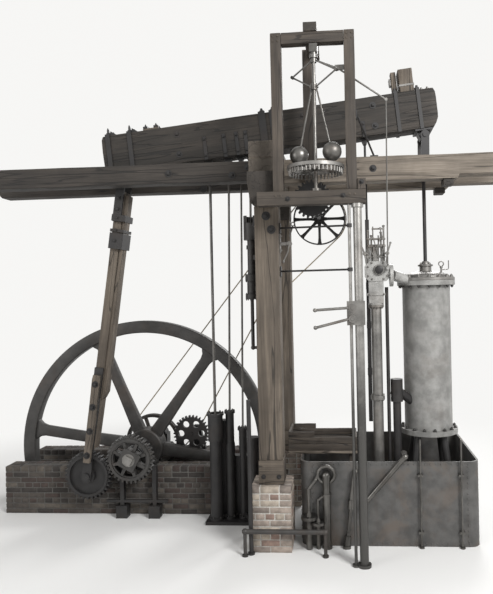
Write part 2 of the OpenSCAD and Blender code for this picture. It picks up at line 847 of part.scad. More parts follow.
module pump_pipes() {
    h = pump_bed_t;
    color(dark_iron) {
        block(pump_x - 130, hot_pump_x + 110, pump_y - 120, tank_y1, 0, h);
        translate([air_pump_x, beam_y, h]) barrel(air_top - h, 126, 420, air_neck);
        translate([hot_pump_x, beam_y, h]) barrel(hot_top - h, 90, 300, hot_neck);
        block(pump_x - 75, air_pump_x + 10, tank_y0, tank_y1, h - 1, 1300);
        block(air_pump_x, hot_pump_x + 80, tank_y0, tank_y1, h - 1, 830);
        translate([air_pump_x, beam_y, 700]) rotate([-90, 0, 0]) cylinder(h = tank_y0 + 10 - beam_y, d = 110);
        translate([hot_pump_x, beam_y, 500]) rotate([-90, 0, 0]) cylinder(h = tank_y0 + 10 - beam_y, d = 80);
        translate([-230, -270, 0]) {
            cylinder(h = 24, d = 80 - 2 * seat);
            cylinder(h = 1765, d = 50);
        }
        translate([-290, 400, 0]) cylinder(h = 520, d = 60);
        translate([-290, 400, 520]) cylinder(h = 660, d1 = 90, d2 = 150);
        bar([-290, 400, 90], [hot_pump_x, beam_y, 90], 50);
    }
}

feed_x = -318;

board_z1 = 3700;

module feed_pump() {
    reach = -feed_x - post_w / 2 - seat;
    color(iron) translate([feed_x, beam_y, 0]) {
        difference() {
            translate([0, 0, 3680]) cylinder(h = 315, d = 190);
            translate([0, 0, feed_seat_z]) cylinder(h = 400, d = feed_bore);
            translate([-200, -200, feed_seat_z + 80]) cube([400, 130, 400]);
        }
        translate([0, 0, 3225]) cylinder(h = 455, d = 100);
        translate([0, 0, 3560]) cylinder(h = 50, d = 126);
        translate([0, 0, 3143]) cylinder(h = 82, d = 170);
        translate([0, 0, 2973]) cylinder(h = 170, d = 124);
        translate([0, 0, 2905]) cylinder(h = 68, d = 170);
        translate([0, 0, 2290]) cylinder(h = 615, d = 46);
        translate([0, 0, 2270]) sphere(d = 60);
        bar([0, 0, 2270], [reach, 0, 2270], 40);
        for (z = [3010, 3420]) block(0, reach, -40, 40, z, z + 60);
    }
}

module pump_board() {
    color(oak) block(-post_w / 2, -post_w / 2 + 40, post_w / 2, post_gap - post_w / 2, 2200, board_z1);
}

gov_left_x0 = 140;
gov_right_x1 = 1056;
gov_back_x0 = 440;

module governor_frame() {
    y0 = gov_y - gov_post / 2;
    y1 = gov_y + gov_post / 2;
    color(pale_oak) {
        block(gov_left_x0, gov_left_x0 + gov_post, y0, y1, sill_top, gov_top);
        block(gov_right_x1 - gov_post, gov_right_x1, y0, y1, sill_top, gov_top);
        block(gov_left_x0 + gov_post, gov_right_x1 - gov_post, y0, y1, gov_top - 125, gov_top);
        difference() {
            block(-40, gov_right_x1 + 90, gov_y - 75, gov_y + 75, sill_bottom, sill_top);
            translate([gov_x, gov_y, sill_bottom - 1]) cylinder(h = sill_h + 2, d = spindle_d + 2 * seat);
        }
        block(gov_right_x1, gov_right_x1 + 90, gov_y - 75, gov_y + 75, sill_top, sill_top + 115);
        block(gov_back_x0, gov_back_x0 + 140, spring_front_y - 140, spring_front_y, sill_top, gov_top + 95);
        block(gov_back_x0 + 60, gov_back_x0 + 210, gov_y - 75, spring_front_y, gov_top, gov_top + 95);
    }
}

module governor_spindle() {
    rail_z = gov_top - 125;
    color(bright_iron) translate([gov_x, gov_y, 0]) {
        translate([0, 0, sill_bottom + 10]) cylinder(h = rail_z - 12 - sill_bottom - 10, d = spindle_d);
        difference() {
            union() {
                translate([-45, -45, rail_z - 90]) cube([90, 90, 90 - seat]);
                translate([0, 0, rail_z - 110]) cylinder(h = 30, d = 80);
            }
            translate([0, 0, rail_z - 200]) cylinder(h = 190, d = spindle_d + 2 * seat);
        }
        translate([0, 0, sill_top]) difference() {
            cylinder(h = 26, d = 110);
            translate([0, 0, -1]) cylinder(h = 40, d = spindle_d + 2 * seat);
        }
    }
}

gov_turn = -22;
gov_pivot_z = gov_top - 587;
gov_elbow_z = gov_top - 442;
gov_apex_z = gov_top - 300;
ball_z = sill_top + 410;
ball_out = 198;
elbow_out = 262;
spindle_d = 40;

module governor_arms() {
    color(bright_iron) translate([gov_x, gov_y, 0]) rotate([0, 0, gov_turn]) difference() {
        union() {
            for (s = [-1, 1]) {
                bar([s * 25, 0, gov_pivot_z], [s * ball_out, 0, ball_z], 20);
                translate([s * ball_out, 0, ball_z]) sphere(r = ball_r);
                bar([s * 25, 0, gov_pivot_z], [s * elbow_out, 0, gov_elbow_z], 18);
                bar([s * elbow_out, 0, gov_elbow_z], [s * 25, 0, gov_apex_z], 18);
                translate([s * elbow_out, -16, gov_elbow_z]) rotate([-90, 0, 0]) cylinder(h = 32, d = 34);
                translate([s * 25, -26, gov_pivot_z]) rotate([-90, 0, 0]) cylinder(h = 52, d = 36);
            }
            translate([0, 0, gov_pivot_z - 34]) cylinder(h = 68, d = 70);
            translate([0, 0, gov_apex_z - 24]) cylinder(h = 48, d = 64);
        }
        translate([0, 0, gov_pivot_z - 60]) cylinder(h = 600, d = spindle_d + 2 * seat);
    }
}

crown_z = sill_top + 235;
peg_h = 54;

module crown_wheel() {
    color(iron) translate([gov_x, gov_y, crown_z]) difference() {
        union() {
            difference() {
                cylinder(h = 36, r = crown_r);
                translate([0, 0, -1]) cylinder(h = 40, r = crown_r - 46);
            }
            for (a = [0:60:359]) rotate([0, 0, a]) translate([40, -18, 0]) cube([crown_r - 60, 36, 30]);
            cylinder(h = 60, d = 120);
            for (a = [0:9:359]) rotate([0, 0, a]) translate([crown_r - 22, 0, -peg_h]) cylinder(h = peg_h + 1, d = 22, $fn = 12);
        }
        translate([0, 0, -50]) cylinder(h = 120, d = spindle_d + 2 * seat);
    }
}

gov_shaft_dx = 60;
gov_shaft_d = 60;

module shaft_hanger(y) {
    x = gov_x - gov_shaft_dx;
    difference() {
        union() {
            block(x - 110, x + 110, y, y + 60, spring_bottom - spring_extra - 30, spring_bottom - spring_extra);
            slab(y, y + 60) polygon([[x - 60, spring_bottom - spring_extra - 30],
                [x + 60, spring_bottom - spring_extra - 30], [x + 50, gov_shaft_z], [x - 50, gov_shaft_z]]);
            pin(x, gov_shaft_z, y, y + 60, 100);
        }
        pin(x, gov_shaft_z, y - 1, y + 61, gov_shaft_d + 2 * seat);
    }
}

module governor_shaft() {
    x = gov_x - gov_shaft_dx;
    gear_tip = crown_z - peg_h - 6 - gov_shaft_z;
    color(dark_iron) {
        pin(x, gov_shaft_z, gov_y + 76, drum_y + 90, gov_shaft_d);
        spur(x, gov_shaft_z, gear_tip - tooth_out, 24, gov_y + 255, gov_y + 315, gov_shaft_d + 2 * seat, 0);
        shaft_hanger(spring_front_y + 85);
        shaft_hanger(spring_rear_y + 85);
    }
}

lever_y = gov_y + 85;
lever_pivot = [gov_x + 260, gov_top - 362];
lever_end = [gov_x + 783, gov_top - 733];
lever_sleeve_z = gov_apex_z + 24 + 18 + seat;
throttle_foot = [1424, 280, 3290];

module governor_lever() {
    plate_y = gov_y + gov_post / 2 + seat;
    p = [gov_x, lever_y, lever_sleeve_z];
    color(bright_iron) {
        bar(p, [lever_pivot[0], lever_y, lever_pivot[1]], 20);
        bar([lever_pivot[0], lever_y, lever_pivot[1]], [lever_end[0], lever_y, lever_end[1]], 20);
        bar(p, [gov_x, gov_y + 30, lever_sleeve_z], 20);
        translate([gov_x - 14, lever_y - 14, lever_sleeve_z - 14]) cube(28);
        difference() {
            translate([gov_x, gov_y, lever_sleeve_z - 18]) cylinder(h = 36, d = 90);
            translate([gov_x, gov_y, lever_sleeve_z - 30]) cylinder(h = 60, d = spindle_d + 2 * seat);
        }
        pin(lever_end[0], lever_end[1], lever_y - 16, lever_y + 16, 34);
        bar([lever_end[0], lever_y, lever_end[1]], throttle_foot, 16);
        pin(lever_pivot[0], lever_pivot[1], plate_y, lever_y + 26, 46);
        block(lever_pivot[0] - 30, gov_right_x1 - 30, plate_y, plate_y + 14, lever_pivot[1] - 28, lever_pivot[1] + 28);
    }
}

column_x = 1050;

module iron_column() {
    color(bright_iron) {
        translate([column_x, gov_y - 20, 0]) {
            cylinder(h = 30, d = 150);
            cylinder(h = sill_bottom, d = 96);
            translate([0, 0, sill_bottom - 40]) cylinder(h = 40, d = 130);
        }
        translate([column_x - 90, gov_y - 20, 0]) {
            cylinder(h = 24, d = 80);
            cylinder(h = sill_bottom, d = 34);
        }
    }
}

handle_x = 975;
handle_z1 = 2810;
handle_z2 = 2690;

column_front = gov_y - 20 - 48;
bracket_t = 20;
hub_w = 40;
hub_gap = 6;
hub_y = column_front - seat - bracket_t - hub_gap - hub_w;
upper_hub_y = hub_y - hub_gap - hub_w;
fit = 0.05;

module handle_bracket() {
    color(dark_iron) {
        block(handle_x - 60, column_x + 60, column_front - seat - bracket_t, column_front - seat, handle_z2 - 70,
            handle_z1 + 70);
        pin(handle_x, handle_z1, upper_hub_y - 8, column_front - seat - bracket_t, arbor_d - 2 * fit);
        pin(handle_x, handle_z2, hub_y - 8, column_front - seat - bracket_t, arbor_d - 2 * fit);
    }
}

module stay_rods() {
    color(bright_iron) {
        for (z = [[3235, 3222], [3745, 3700]]) {
            block(post_w / 2, post_w / 2 + 14, -60, 60, z[0] - 60, z[0] + 60);
            difference() {
                union() {
                    bar([post_w / 2 + 14, -20, z[0]], [column_x - 90, gov_y - 20, z[1]], 22);
                    translate([column_x - 90, gov_y - 20, z[1] - 20]) cylinder(h = 40, d = 56);
                }
                translate([column_x - 90, gov_y - 20, z[1] - 40]) cylinder(h = 80, d = 34 + 2 * seat);
            }
        }
        bar([gov_right_x1 + 12, gov_y, gov_top - 913], [1289, spring_front_y + 60, spring_top + 12], 24);
        block(gov_right_x1 + seat, gov_right_x1 + 14, gov_y - 40, gov_y + 40, gov_top - 960, gov_top - 866);
        block(1240, 1338, spring_front_y + 15, spring_front_y + 105, spring_top, spring_top + 14);
    }
}

module handle(y, z, drop) {
    difference() {
        union() {
            pin(handle_x, z, y, y + hub_w, 84);
            bar([handle_x - 30, y + hub_w / 2, z], [handle_x - handle_len, y + hub_w / 2, z - drop], handle_d);
            translate([handle_x - handle_len, y + hub_w / 2, z - drop]) sphere(d = handle_d + 14);
        }
        pin(handle_x, z, y - 1, y + hub_w + 1, arbor_d);
    }
}

module upper_handle() {
    color(bright_iron) handle(upper_hub_y, handle_z1, 20);
}

module lower_handle() {
    color(bright_iron) handle(hub_y, handle_z2, 90);
}

inj_x = 635;
chest_x = 1280;
chest_y = 420;

module valve_gear() {
    color(dark_iron) {
        pump_rod(plug_u, [1200, beam_y, 3900], 30);
        block(1175, 1225, beam_y - 30, beam_y + 30, 1300, 3900);
        for (z = [1900, 2500, 3000]) block(1170, 1230, beam_y - 60, beam_y - 29, z, z + 90);
        translate([1416, 470, tank_t]) cylinder(h = chest_z - 200 - tank_t, d = 44);
        translate([1416, 470, tank_t]) cylinder(h = 20, d = 76);
    }
}

chest_z = 3225;
chest_y0 = 330;
chest_y1 = 510;

module upper_valve_chest() {
    xc = chest_x + 22;
    color(bright_iron) {
        slab(chest_y0, chest_y1) polygon([[xc - 100, chest_z - 125], [xc + 108, chest_z - 125],
            [xc + 153, chest_z - 75], [xc + 153, chest_z + 65], [xc + 98, chest_z + 120],
            [xc - 98, chest_z + 120], [xc - 152, chest_z + 65], [xc - 152, chest_z - 65]]);
        difference() {
            pin(xc + 16, chest_z + 15, chest_y0 - 30, chest_y0 + 1, 110);
            pin(xc + 16, chest_z + 15, chest_y0 - 40, chest_y0 - 8, 64);
        }
        block(xc - 107, xc + 71, chest_y0 + 10, chest_y1 - 10, chest_z - 395, chest_z - 124);
        block(xc - 125, xc + 89, chest_y0 - 4, chest_y1 + 4, chest_z - 300, chest_z - 272);
        translate([chest_x, chest_y, chest_z - 419]) cylinder(h = 25, d = 190);
        pin(throttle_foot[0], throttle_foot[2] - 34, 262, chest_y0 + 1, 40);
        translate([xc + 152, chest_y, chest_z - 55]) rotate([0, 90, 0]) cylinder(h = 40, d = 280);
        difference() {
            bar([xc + 188, chest_y, chest_z - 55], [cyl_x, beam_y - 30, chest_z - 185], 130);
            translate([cyl_x, beam_y, 2000]) cylinder(h = 2000, d = cyl_d + 2 * seat);
            translate([cyl_x, beam_y, cyl_top - 120]) cylinder(h = 2000, d = cyl_flange_d + 2 * seat);
        }
        block(xc - 130, xc - 80, chest_y0 + 60, chest_y0 + 110, chest_z + 119, chest_z + 330);
        block(xc + 60, xc + 100, chest_y0 + 60, chest_y0 + 110, chest_z + 119, chest_z + 330);
        block(xc - 130, xc + 100, chest_y0 + 60, chest_y0 + 110, chest_z + 290, chest_z + 330);
    }
}

module steam_pipe() {
    top = chest_z - 419 - seat;
    color(bright_iron) translate([chest_x, chest_y, 0]) {
        translate([0, 0, tank_t]) cylinder(h = top - tank_t, d = 130);
        translate([0, 0, tank_t]) cylinder(h = 24, d = 200);
        translate([0, 0, top - 25]) cylinder(h = 25, d = 190);
        translate([0, 0, 1640]) cylinder(h = 50, d = 170);
    }
}

module lower_valve_chest() {
    x = chest_x + 237;
    y = 480;
    color(dark_iron) {
        translate([x, y, 1600]) cylinder(h = 280, d = 150);
        translate([x, y, 1690]) cylinder(h = 24, d = 156);
        translate([x, y, tank_t]) cylinder(h = 1600 - tank_t, d = 100);
        difference() {
            bar([x, y, 1740], [cyl_x, beam_y, 1400], 110);
            translate([cyl_x, beam_y, 0]) cylinder(h = 3000, d = cyl_d + 2 * seat);
        }
    }
}

module cylinder_casing() {
    translate([cyl_x, beam_y, 0]) {
        translate([0, 0, cyl_foot]) cylinder(h = 60, d = cyl_flange_d);
        translate([0, 0, cyl_foot]) cylinder(h = cyl_top - 60 - cyl_foot, d = cyl_d);
        translate([0, 0, cyl_top - 120]) cylinder(h = 60, d = cyl_flange_d);
    }
}

module steam_cylinder() {
    color(iron) difference() {
        cylinder_casing();
        translate([cyl_x, beam_y, cyl_foot + 80]) cylinder(h = cyl_top, d = cyl_d - 90);
    }
}

module cylinder_cover() {
    color(bright_iron) translate([cyl_x, beam_y, cyl_top - 60]) {
        difference() {
            union() {
                cylinder(h = 60, d = cyl_flange_d);
                translate([0, 0, 60]) cylinder(h = 50, d1 = cyl_d - 60, d2 = cyl_d - 200);
                translate([0, 0, 110]) cylinder(h = 100, d = 150);
                translate([0, 0, 195]) cylinder(h = 30, d = 200);
                translate([0, 0, 225]) cylinder(h = 40, d1 = 110, d2 = 76);
            }
            translate([0, 0, -1]) cylinder(h = 400, d = piston_d + 2 * seat);
        }
        translate([190, -60, 90]) cylinder(h = 90, d = 34);
        translate([190, -60, 190]) rotate([90, 0, 0]) rotate_extrude() translate([26, 0]) circle(d = 16);
        translate([270, -80, 55]) cylinder(h = 50, d = 44);
    }
}

module cylinder_stand() {
    color(dark_iron) for (sx = [-1, 1], sy = [-1, 1]) {
        intersection() {
            bar([cyl_x + sx * 150, beam_y + sy * 150, cyl_foot + 60], [cyl_x + sx * 290, beam_y + sy * 330, 0], 90);
            block(cyl_x - 900, cyl_x + 900, beam_y - 900, beam_y + 900, tank_t + 16, cyl_foot);
        }
        translate([cyl_x + sx * 286, beam_y + sy * 325, tank_t]) cylinder(h = 16, d = 190);
    }
}

head_z = 4450;

module piston_rod() {
    color(bright_iron) difference() {
        translate([cyl_x, beam_y, 0]) {
            translate([0, 0, cyl_foot + 900]) cylinder(h = head_z - 40 - cyl_foot - 900, d = piston_d);
            translate([0, 0, head_z - 60]) cylinder(h = 120, d = 110);
        }
        pin(cyl_x, head_z, beam_y - 100, beam_y + 100, pin_d + 2 * seat);
    }
}

module parallel_motion() {
    x0 = cyl_pin[0];
    z0 = cyl_pin[1];
    w = pin_d / 2 + 18;
    color(dark_iron) {
        for (s = [-1, 1]) {
            y0 = beam_y + s * (beam_w / 2 + 30) - 18;
            difference() {
                union() {
                    pin(x0, z0, y0, y0 + 36, pin_d + 46);
                    pin(cyl_x, head_z, y0, y0 + 36, pin_d + 46);
                    slab(y0, y0 + 36) polygon([[x0 - w, z0], [x0 + w, z0], [cyl_x + w, head_z], [cyl_x - w, head_z]]);
                }
                pin(x0, z0, y0 - 1, y0 + 37, pin_d + 2 * seat);
                pin(cyl_x, head_z, y0 - 1, y0 + 37, pin_d + 2 * seat);
            }
        }
        pin(cyl_x, head_z, beam_y - beam_w / 2 - link_over, beam_y + beam_w / 2 + link_over, pin_d);
    }
}

module rounded_plan(x0, x1, y0, y1, r) {
    translate([x0 + r, y0]) square([x1 - x0 - 2 * r, y1 - y0]);
    translate([x0, y0 + r]) square([x1 - x0, y1 - y0 - 2 * r]);
    for (x = [x0 + r, x1 - r], y = [y0 + r, y1 - r]) translate([x, y]) circle(r = r);
}

module cistern() {
    color(dark_iron) difference() {
        linear_extrude(tank_h) rounded_plan(tank_left, tank_right, tank_front, tank_back, tank_r);
        translate([0, 0, tank_t]) linear_extrude(tank_h)
            rounded_plan(tank_left + tank_t, tank_right - tank_t, tank_front + tank_t, tank_back - tank_t, tank_r - tank_t);
    }
}

module injection_pipes() {
    vessel_d = 116;
    y = tank_front - seat - vessel_d / 2;
    elbow_d = 74;
    rim_z = tank_h + 74;
    rod_out = 40;
    left = inj_x - 208;
    left_wheel_d = 184;
    left_y = tank_front - seat - left_wheel_d / 2;
    right = inj_x - 102;
    tilt_x0 = inj_x + 224;
    tilt_x1 = inj_x + 336;
    color(bright_iron) {
        translate([inj_x, y, 0]) {
            cylinder(h = 30, d = vessel_d);
            cylinder(h = 650, d = 92);
            translate([0, 0, 610]) cylinder(h = 24, d = 112);
            translate([0, 0, 650]) cylinder(h = 190, d1 = 84, d2 = 104);
            translate([0, 0, 850]) rotate([90, 0, 0]) rotate_extrude() translate([97, 0]) circle(d = 42);
            translate([0, 0, 840]) sphere(d = 108);
        }
        translate([left, left_y, 0]) {
            cylinder(h = 350, d = 72);
            translate([0, 0, 350]) cylinder(h = 34, d = left_wheel_d);
            translate([0, 0, 384]) cylinder(h = 60, d1 = 70, d2 = 40);
            translate([0, 0, 444]) cylinder(h = 180, d = 36);
            translate([0, 0, 620]) cylinder(h = 80, d = 50);
        }
        bar([left, left_y, 690], [left + 85, y, 790], 42);
        bar([left + 85, y, 790], [inj_x - 97, y, 850], 40);
        translate([left + 85, y, 790]) sphere(d = 50);
        translate([right, y - 24, 0]) {
            cylinder(h = 285, d = 50);
            translate([0, 0, 285]) cylinder(h = 30, d = 158);
            translate([0, 0, 315]) cylinder(h = 50, d1 = 60, d2 = 36);
            translate([0, 0, 365]) cylinder(h = 215, d = 32);
        }
        bar([right, y - 24, 560], [inj_x, y, 630], 30);
        translate([tilt_x0, y, 0]) cylinder(h = 30, d = 100);
        bar([tilt_x0, y, 10], [tilt_x0 + 18, y, 140], 70);
        bar([tilt_x0 + 18, y, 140], [tilt_x0 + 56, y, 470], 44);
        bar([tilt_x0 + 56, y, 460], [tilt_x0 + 66, y, 560], 86);
        bar([tilt_x0 + 66, y, 560], [tilt_x1, y, 890], 62);
        translate([tilt_x1, y, 890]) sphere(d = elbow_d);
        bar([tilt_x1, y, 890], [tilt_x1, tank_front - seat, 890], 50);
        bar([1550, y, rim_z], [1060, y, 500], 60);
        translate([1060, y, 500]) sphere(d = elbow_d);
        translate([1060, y, 500]) rotate([-90, 0, 0]) cylinder(h = tank_front - seat - y, d = 60);
        translate([1550, y, rim_z]) sphere(d = elbow_d);
        bar([1550, y, rim_z], [1550, 62, rim_z], 60);
        translate([1550, 62, rim_z]) sphere(d = elbow_d);
        bar([1550, 62, rim_z], [1550, 62, tank_t], 60);
        for (x = [1725, 2190]) {
            translate([x, tank_front - rod_out, 0]) cylinder(h = 1250, d = 22);
            translate([x, tank_front - rod_out, 0]) cylinder(h = 16, d = 60);
            for (z = [160, 820]) block(x - 30, x + 30, tank_front - rod_out - 8, tank_front - seat, z, z + 30);
        }
    }
}

well_y0 = 350;
well_y1 = 850;
well_x0 = 160;
well_x1 = 1010;
well_t = 26;

// Open wooden trough across the cistern's left rim, on two legs
module hot_well() {
    z0 = tank_h + seat;
    x2 = 480;
    color(oak) {
        block(well_x0, well_x1, well_y0, well_y1, z0, z0 + well_t);
        for (y = [well_y0, well_y1 - well_t]) {
            block(well_x0, x2, y, y + well_t, z0, z0 + 264);
            block(x2, well_x1, y, y + well_t, z0, z0 + 200);
        }
        block(well_x0, well_x0 + well_t, well_y0, well_y1, z0, z0 + 264);
        block(well_x1 - well_t, well_x1, well_y0, well_y1, z0, z0 + 200);
        block(well_x0, well_x1, well_y0 - 24, well_y0 + 1, z0, z0 + 34);
        for (y = [well_y0 + 40, well_y1 - 110]) block(well_x1 - 100, well_x1 - 30, y, y + 70, tank_t, z0 + 1);
    }
}

module floor_pipe() {
    y = -270 - 25 - 28 - seat;
    x0 = -292;
    x1 = 622;
    color(bright_iron) {
        bar([x0, y, 280], [x1, y, 280], 56);
        for (x = [x0, x1]) translate([x, y, 0]) {
            cylinder(h = 280, d = 40);
            cylinder(h = 20, d = 70);
            translate([0, 0, 280]) sphere(d = 70);
        }
    }
}

king_post_piers();
post_foot_blocks();
king_post_front();
king_post_rear();
post_heads();
cross_timber_lower();
cross_timber_upper();
spring_timber_front_left();
spring_timber_front_right();
spring_timber_rear_left();
spring_timber_rear_right();
great_beam();
beam_gudgeon();
gudgeon_bearings();
beam_straps();
beam_catch_blocks();
connecting_rod();
rod_irons();
planet_wheel();
sun_wheel();
sun_planet_link();
flywheel();
flywheel_shaft();
shaft_bearings();
wheel_wall_front();
wheel_wall_rear();
outboard_stand();
rope_drum();
governor_rope();
counter_gear();
cold_water_pump();
pump_rods();
pump_pipes();
feed_pump();
pump_board();
governor_frame();
governor_spindle();
governor_arms();
crown_wheel();
governor_shaft();
rope_pulley();
governor_lever();
iron_column();
stay_rods();
handle_bracket();
upper_handle();
lower_handle();
valve_gear();
upper_valve_chest();
steam_pipe();
lower_valve_chest();
steam_cylinder();
cylinder_cover();
cylinder_stand();
piston_rod();
parallel_motion();
cistern();
injection_pipes();
hot_well();
floor_pipe();
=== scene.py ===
"""Looks for a timber-framed rotative beam engine: brickwork, old oak, worn iron, bolts and rope.

Metres throughout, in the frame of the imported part: right is +X, back is +Y, up is +Z.
"""

import json
import math

import bpy
import numpy as np
from mathutils import Matrix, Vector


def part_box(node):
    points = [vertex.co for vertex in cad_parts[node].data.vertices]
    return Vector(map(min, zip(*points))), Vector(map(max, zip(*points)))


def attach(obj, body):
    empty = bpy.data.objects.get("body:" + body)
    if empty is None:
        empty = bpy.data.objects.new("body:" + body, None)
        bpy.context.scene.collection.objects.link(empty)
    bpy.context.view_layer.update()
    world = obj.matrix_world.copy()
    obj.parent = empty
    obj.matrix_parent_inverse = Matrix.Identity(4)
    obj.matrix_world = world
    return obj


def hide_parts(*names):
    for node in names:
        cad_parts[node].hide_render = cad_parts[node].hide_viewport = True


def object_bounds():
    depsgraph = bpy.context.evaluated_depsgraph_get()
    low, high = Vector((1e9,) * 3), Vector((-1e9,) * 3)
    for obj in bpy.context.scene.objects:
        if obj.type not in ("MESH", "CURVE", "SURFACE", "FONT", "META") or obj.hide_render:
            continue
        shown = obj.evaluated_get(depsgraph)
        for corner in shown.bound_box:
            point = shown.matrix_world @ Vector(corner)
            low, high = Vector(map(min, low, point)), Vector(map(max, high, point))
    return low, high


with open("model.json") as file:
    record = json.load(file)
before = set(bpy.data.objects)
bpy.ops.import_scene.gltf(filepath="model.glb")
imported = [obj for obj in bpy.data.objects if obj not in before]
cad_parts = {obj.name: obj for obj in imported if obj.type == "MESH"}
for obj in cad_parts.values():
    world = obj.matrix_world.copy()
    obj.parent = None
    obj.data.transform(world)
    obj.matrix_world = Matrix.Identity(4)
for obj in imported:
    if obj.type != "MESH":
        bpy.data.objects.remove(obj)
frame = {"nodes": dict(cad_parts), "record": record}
cad_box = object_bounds()
RNG = np.random.default_rng(41)
TAU = 2 * math.pi
AXES = {"x": 0, "y": 1, "z": 2}
UP, DOWN, FRONT, BACK, RIGHT, LEFT = (0, 0, 1), (0, 0, -1), (0, -1, 0), (0, 1, 0), (1, 0, 0), (-1, 0, 0)

# Places and sizes of the part that its nodes' boxes don't give
BEAM_Y = 0.740
BEAM_TILT = math.radians(6)
BEAM_LOW, BEAM_TOP = 0.048, 0.548  # the beam's underside and top above the gudgeon, square to its length
BEAM_W = 0.300
BEAM_FRONT, BEAM_BACK = BEAM_Y - BEAM_W / 2, BEAM_Y + BEAM_W / 2
GUDGEON_Z = 4.767
SHAFT_X, SHAFT_Z = -1.985, 0.820
CYLINDER_X = 1.936
PIPE_X, PIPE_Y = 1.280, 0.420
PULLEY = (0.548, 1.660, 4.040)

# Angles, in degrees, above which an edge of a piece stays crisp
WOOD_EDGE, IRON_EDGE, CASTING_EDGE, COVER_EDGE, ROUND_EDGE = 35, 30, 35, 32, 60

# ---------------------------------------------------------------- camera

CAMERA_AT = (0.90, -7.07, 3.0)
CAMERA_YAW = math.radians(4.2)
CAMERA_ROLL = math.radians(1.2)
SENSOR = 36.0
FOCAL_PIXELS = 600.0
IMAGE = (493, 594)
PRINCIPAL = (301.0, 290.9)


def add_camera():
    """The photograph's pinhole camera: yawed to the left of +Y, rolled, with its centre off the middle."""
    data = bpy.data.cameras.new("photo_camera")
    data.sensor_width = SENSOR
    data.lens = FOCAL_PIXELS / IMAGE[1] * SENSOR
    data.shift_x = (IMAGE[0] / 2 - PRINCIPAL[0]) / IMAGE[1]
    data.shift_y = (PRINCIPAL[1] - IMAGE[1] / 2) / IMAGE[1]
    right = np.array([math.cos(CAMERA_YAW), math.sin(CAMERA_YAW), 0])
    ahead = np.array([-math.sin(CAMERA_YAW), math.cos(CAMERA_YAW), 0])
    up = np.array([0, 0, 1.0])
    across = right * math.cos(CAMERA_ROLL) - up * math.sin(CAMERA_ROLL)
    upright = right * math.sin(CAMERA_ROLL) + up * math.cos(CAMERA_ROLL)
    turn = np.stack([across, upright, -ahead], axis=1)
    camera = bpy.data.objects.new("photo_camera", data)
    camera.matrix_world = Matrix.Translation(CAMERA_AT) @ Matrix(turn.tolist()).to_4x4()
    bpy.context.scene.collection.objects.link(camera)
    bpy.context.scene.camera = camera


add_camera()

# ---------------------------------------------------------------- shader maths


class Value:
    """A node socket with arithmetic: each operator adds one Math node."""

    def __init__(self, nodes, socket):
        self.nodes, self.socket = nodes, socket

    def _math(self, operation, *values):
        return self.nodes.add("ShaderNodeMath", {"operation": operation}, dict(enumerate(values)))

    def __add__(self, other):
        return self._math("ADD", self, other)

    def __sub__(self, other):
        return self._math("SUBTRACT", self, other)

    def __rsub__(self, other):
        return self._math("SUBTRACT", other, self)

    def __mul__(self, other):
        return self._math("MULTIPLY", self, other)

    def __or__(self, other):
        """The larger of the two."""
        return self._math("MAXIMUM", self, other)

    def __abs__(self):
        return self._math("ABSOLUTE", self)

    __radd__, __rmul__ = __add__, __mul__


class Nodes:
    """A node tree of a material or the world, and how a node gets into it."""

    def __init__(self, tree):
        self.tree = tree

    def add(self, kind, settings, values, output=0):
        """Adds a node, sets its settings first, then the values or links of its sockets."""
        node = self.tree.nodes.new(kind)
        for name, value in settings.items():
            setattr(node, name, value)
        for name, value in values.items():
            self.put(node.inputs[name], value)
        return Value(self, node.outputs[output]) if node.outputs else None

    def put(self, socket, value):
        if isinstance(value, Value):
            self.tree.links.new(value.socket, socket)
        elif hasattr(socket.default_value, "__len__") and hasattr(value, "__len__"):
            socket.default_value = tuple(value) + (1.0,) * (len(socket.default_value) - len(value))
        else:
            socket.default_value = value


class Paint(Nodes):
    """One material's nodes, and the few kinds of node that the finishes use."""

    def __init__(self, name, roughness=0.6, metallic=0.0):
        self.material = bpy.data.materials.new(name)
        self.material.use_nodes = True
        super().__init__(self.material.node_tree)
        self.shader = self.tree.nodes["Principled BSDF"]
        self.shader.inputs["Roughness"].default_value = roughness
        self.shader.inputs["Metallic"].default_value = metallic

    def place(self, scale=(1, 1, 1), shift=(0, 0, 0)):
        """Object coordinates, stretched and shifted."""
        here = self.add("ShaderNodeTexCoord", {}, {}, "Object")
        return self.add("ShaderNodeMapping", {}, {"Vector": here, "Scale": scale, "Location": shift})

    def noise(self, where, scale, detail=4.0, rough=0.5, twist=0.0):
        values = {"Vector": where, "Scale": scale, "Detail": detail, "Roughness": rough, "Distortion": twist}
        return self.add("ShaderNodeTexNoise", {}, values)

    def ease(self, value, low, high):
        """0 below low, 1 above high, smooth between."""
        values = {"Value": value, "From Min": low, "From Max": high}
        return self.add("ShaderNodeMapRange", {"interpolation_type": "SMOOTHSTEP"}, values)

    def mix(self, share, first, second):
        return self.add("ShaderNodeMix", {"data_type": "RGBA"}, {0: share, 6: first, 7: second}, 2)

    def bump(self, height, strength, distance):
        return self.add("ShaderNodeBump", {}, {"Height": height, "Strength": strength, "Distance": distance})

    def finish(self, **looks):
        """Links what changes over the surface to the shader."""
        for name, value in looks.items():
            self.put(self.shader.inputs[name.replace("_", " ")], value)
        return self.material


def shade(colour, share):
    """The colour made darker or lighter by one share, at most white."""
    return [min(1, c * share) for c in colour]


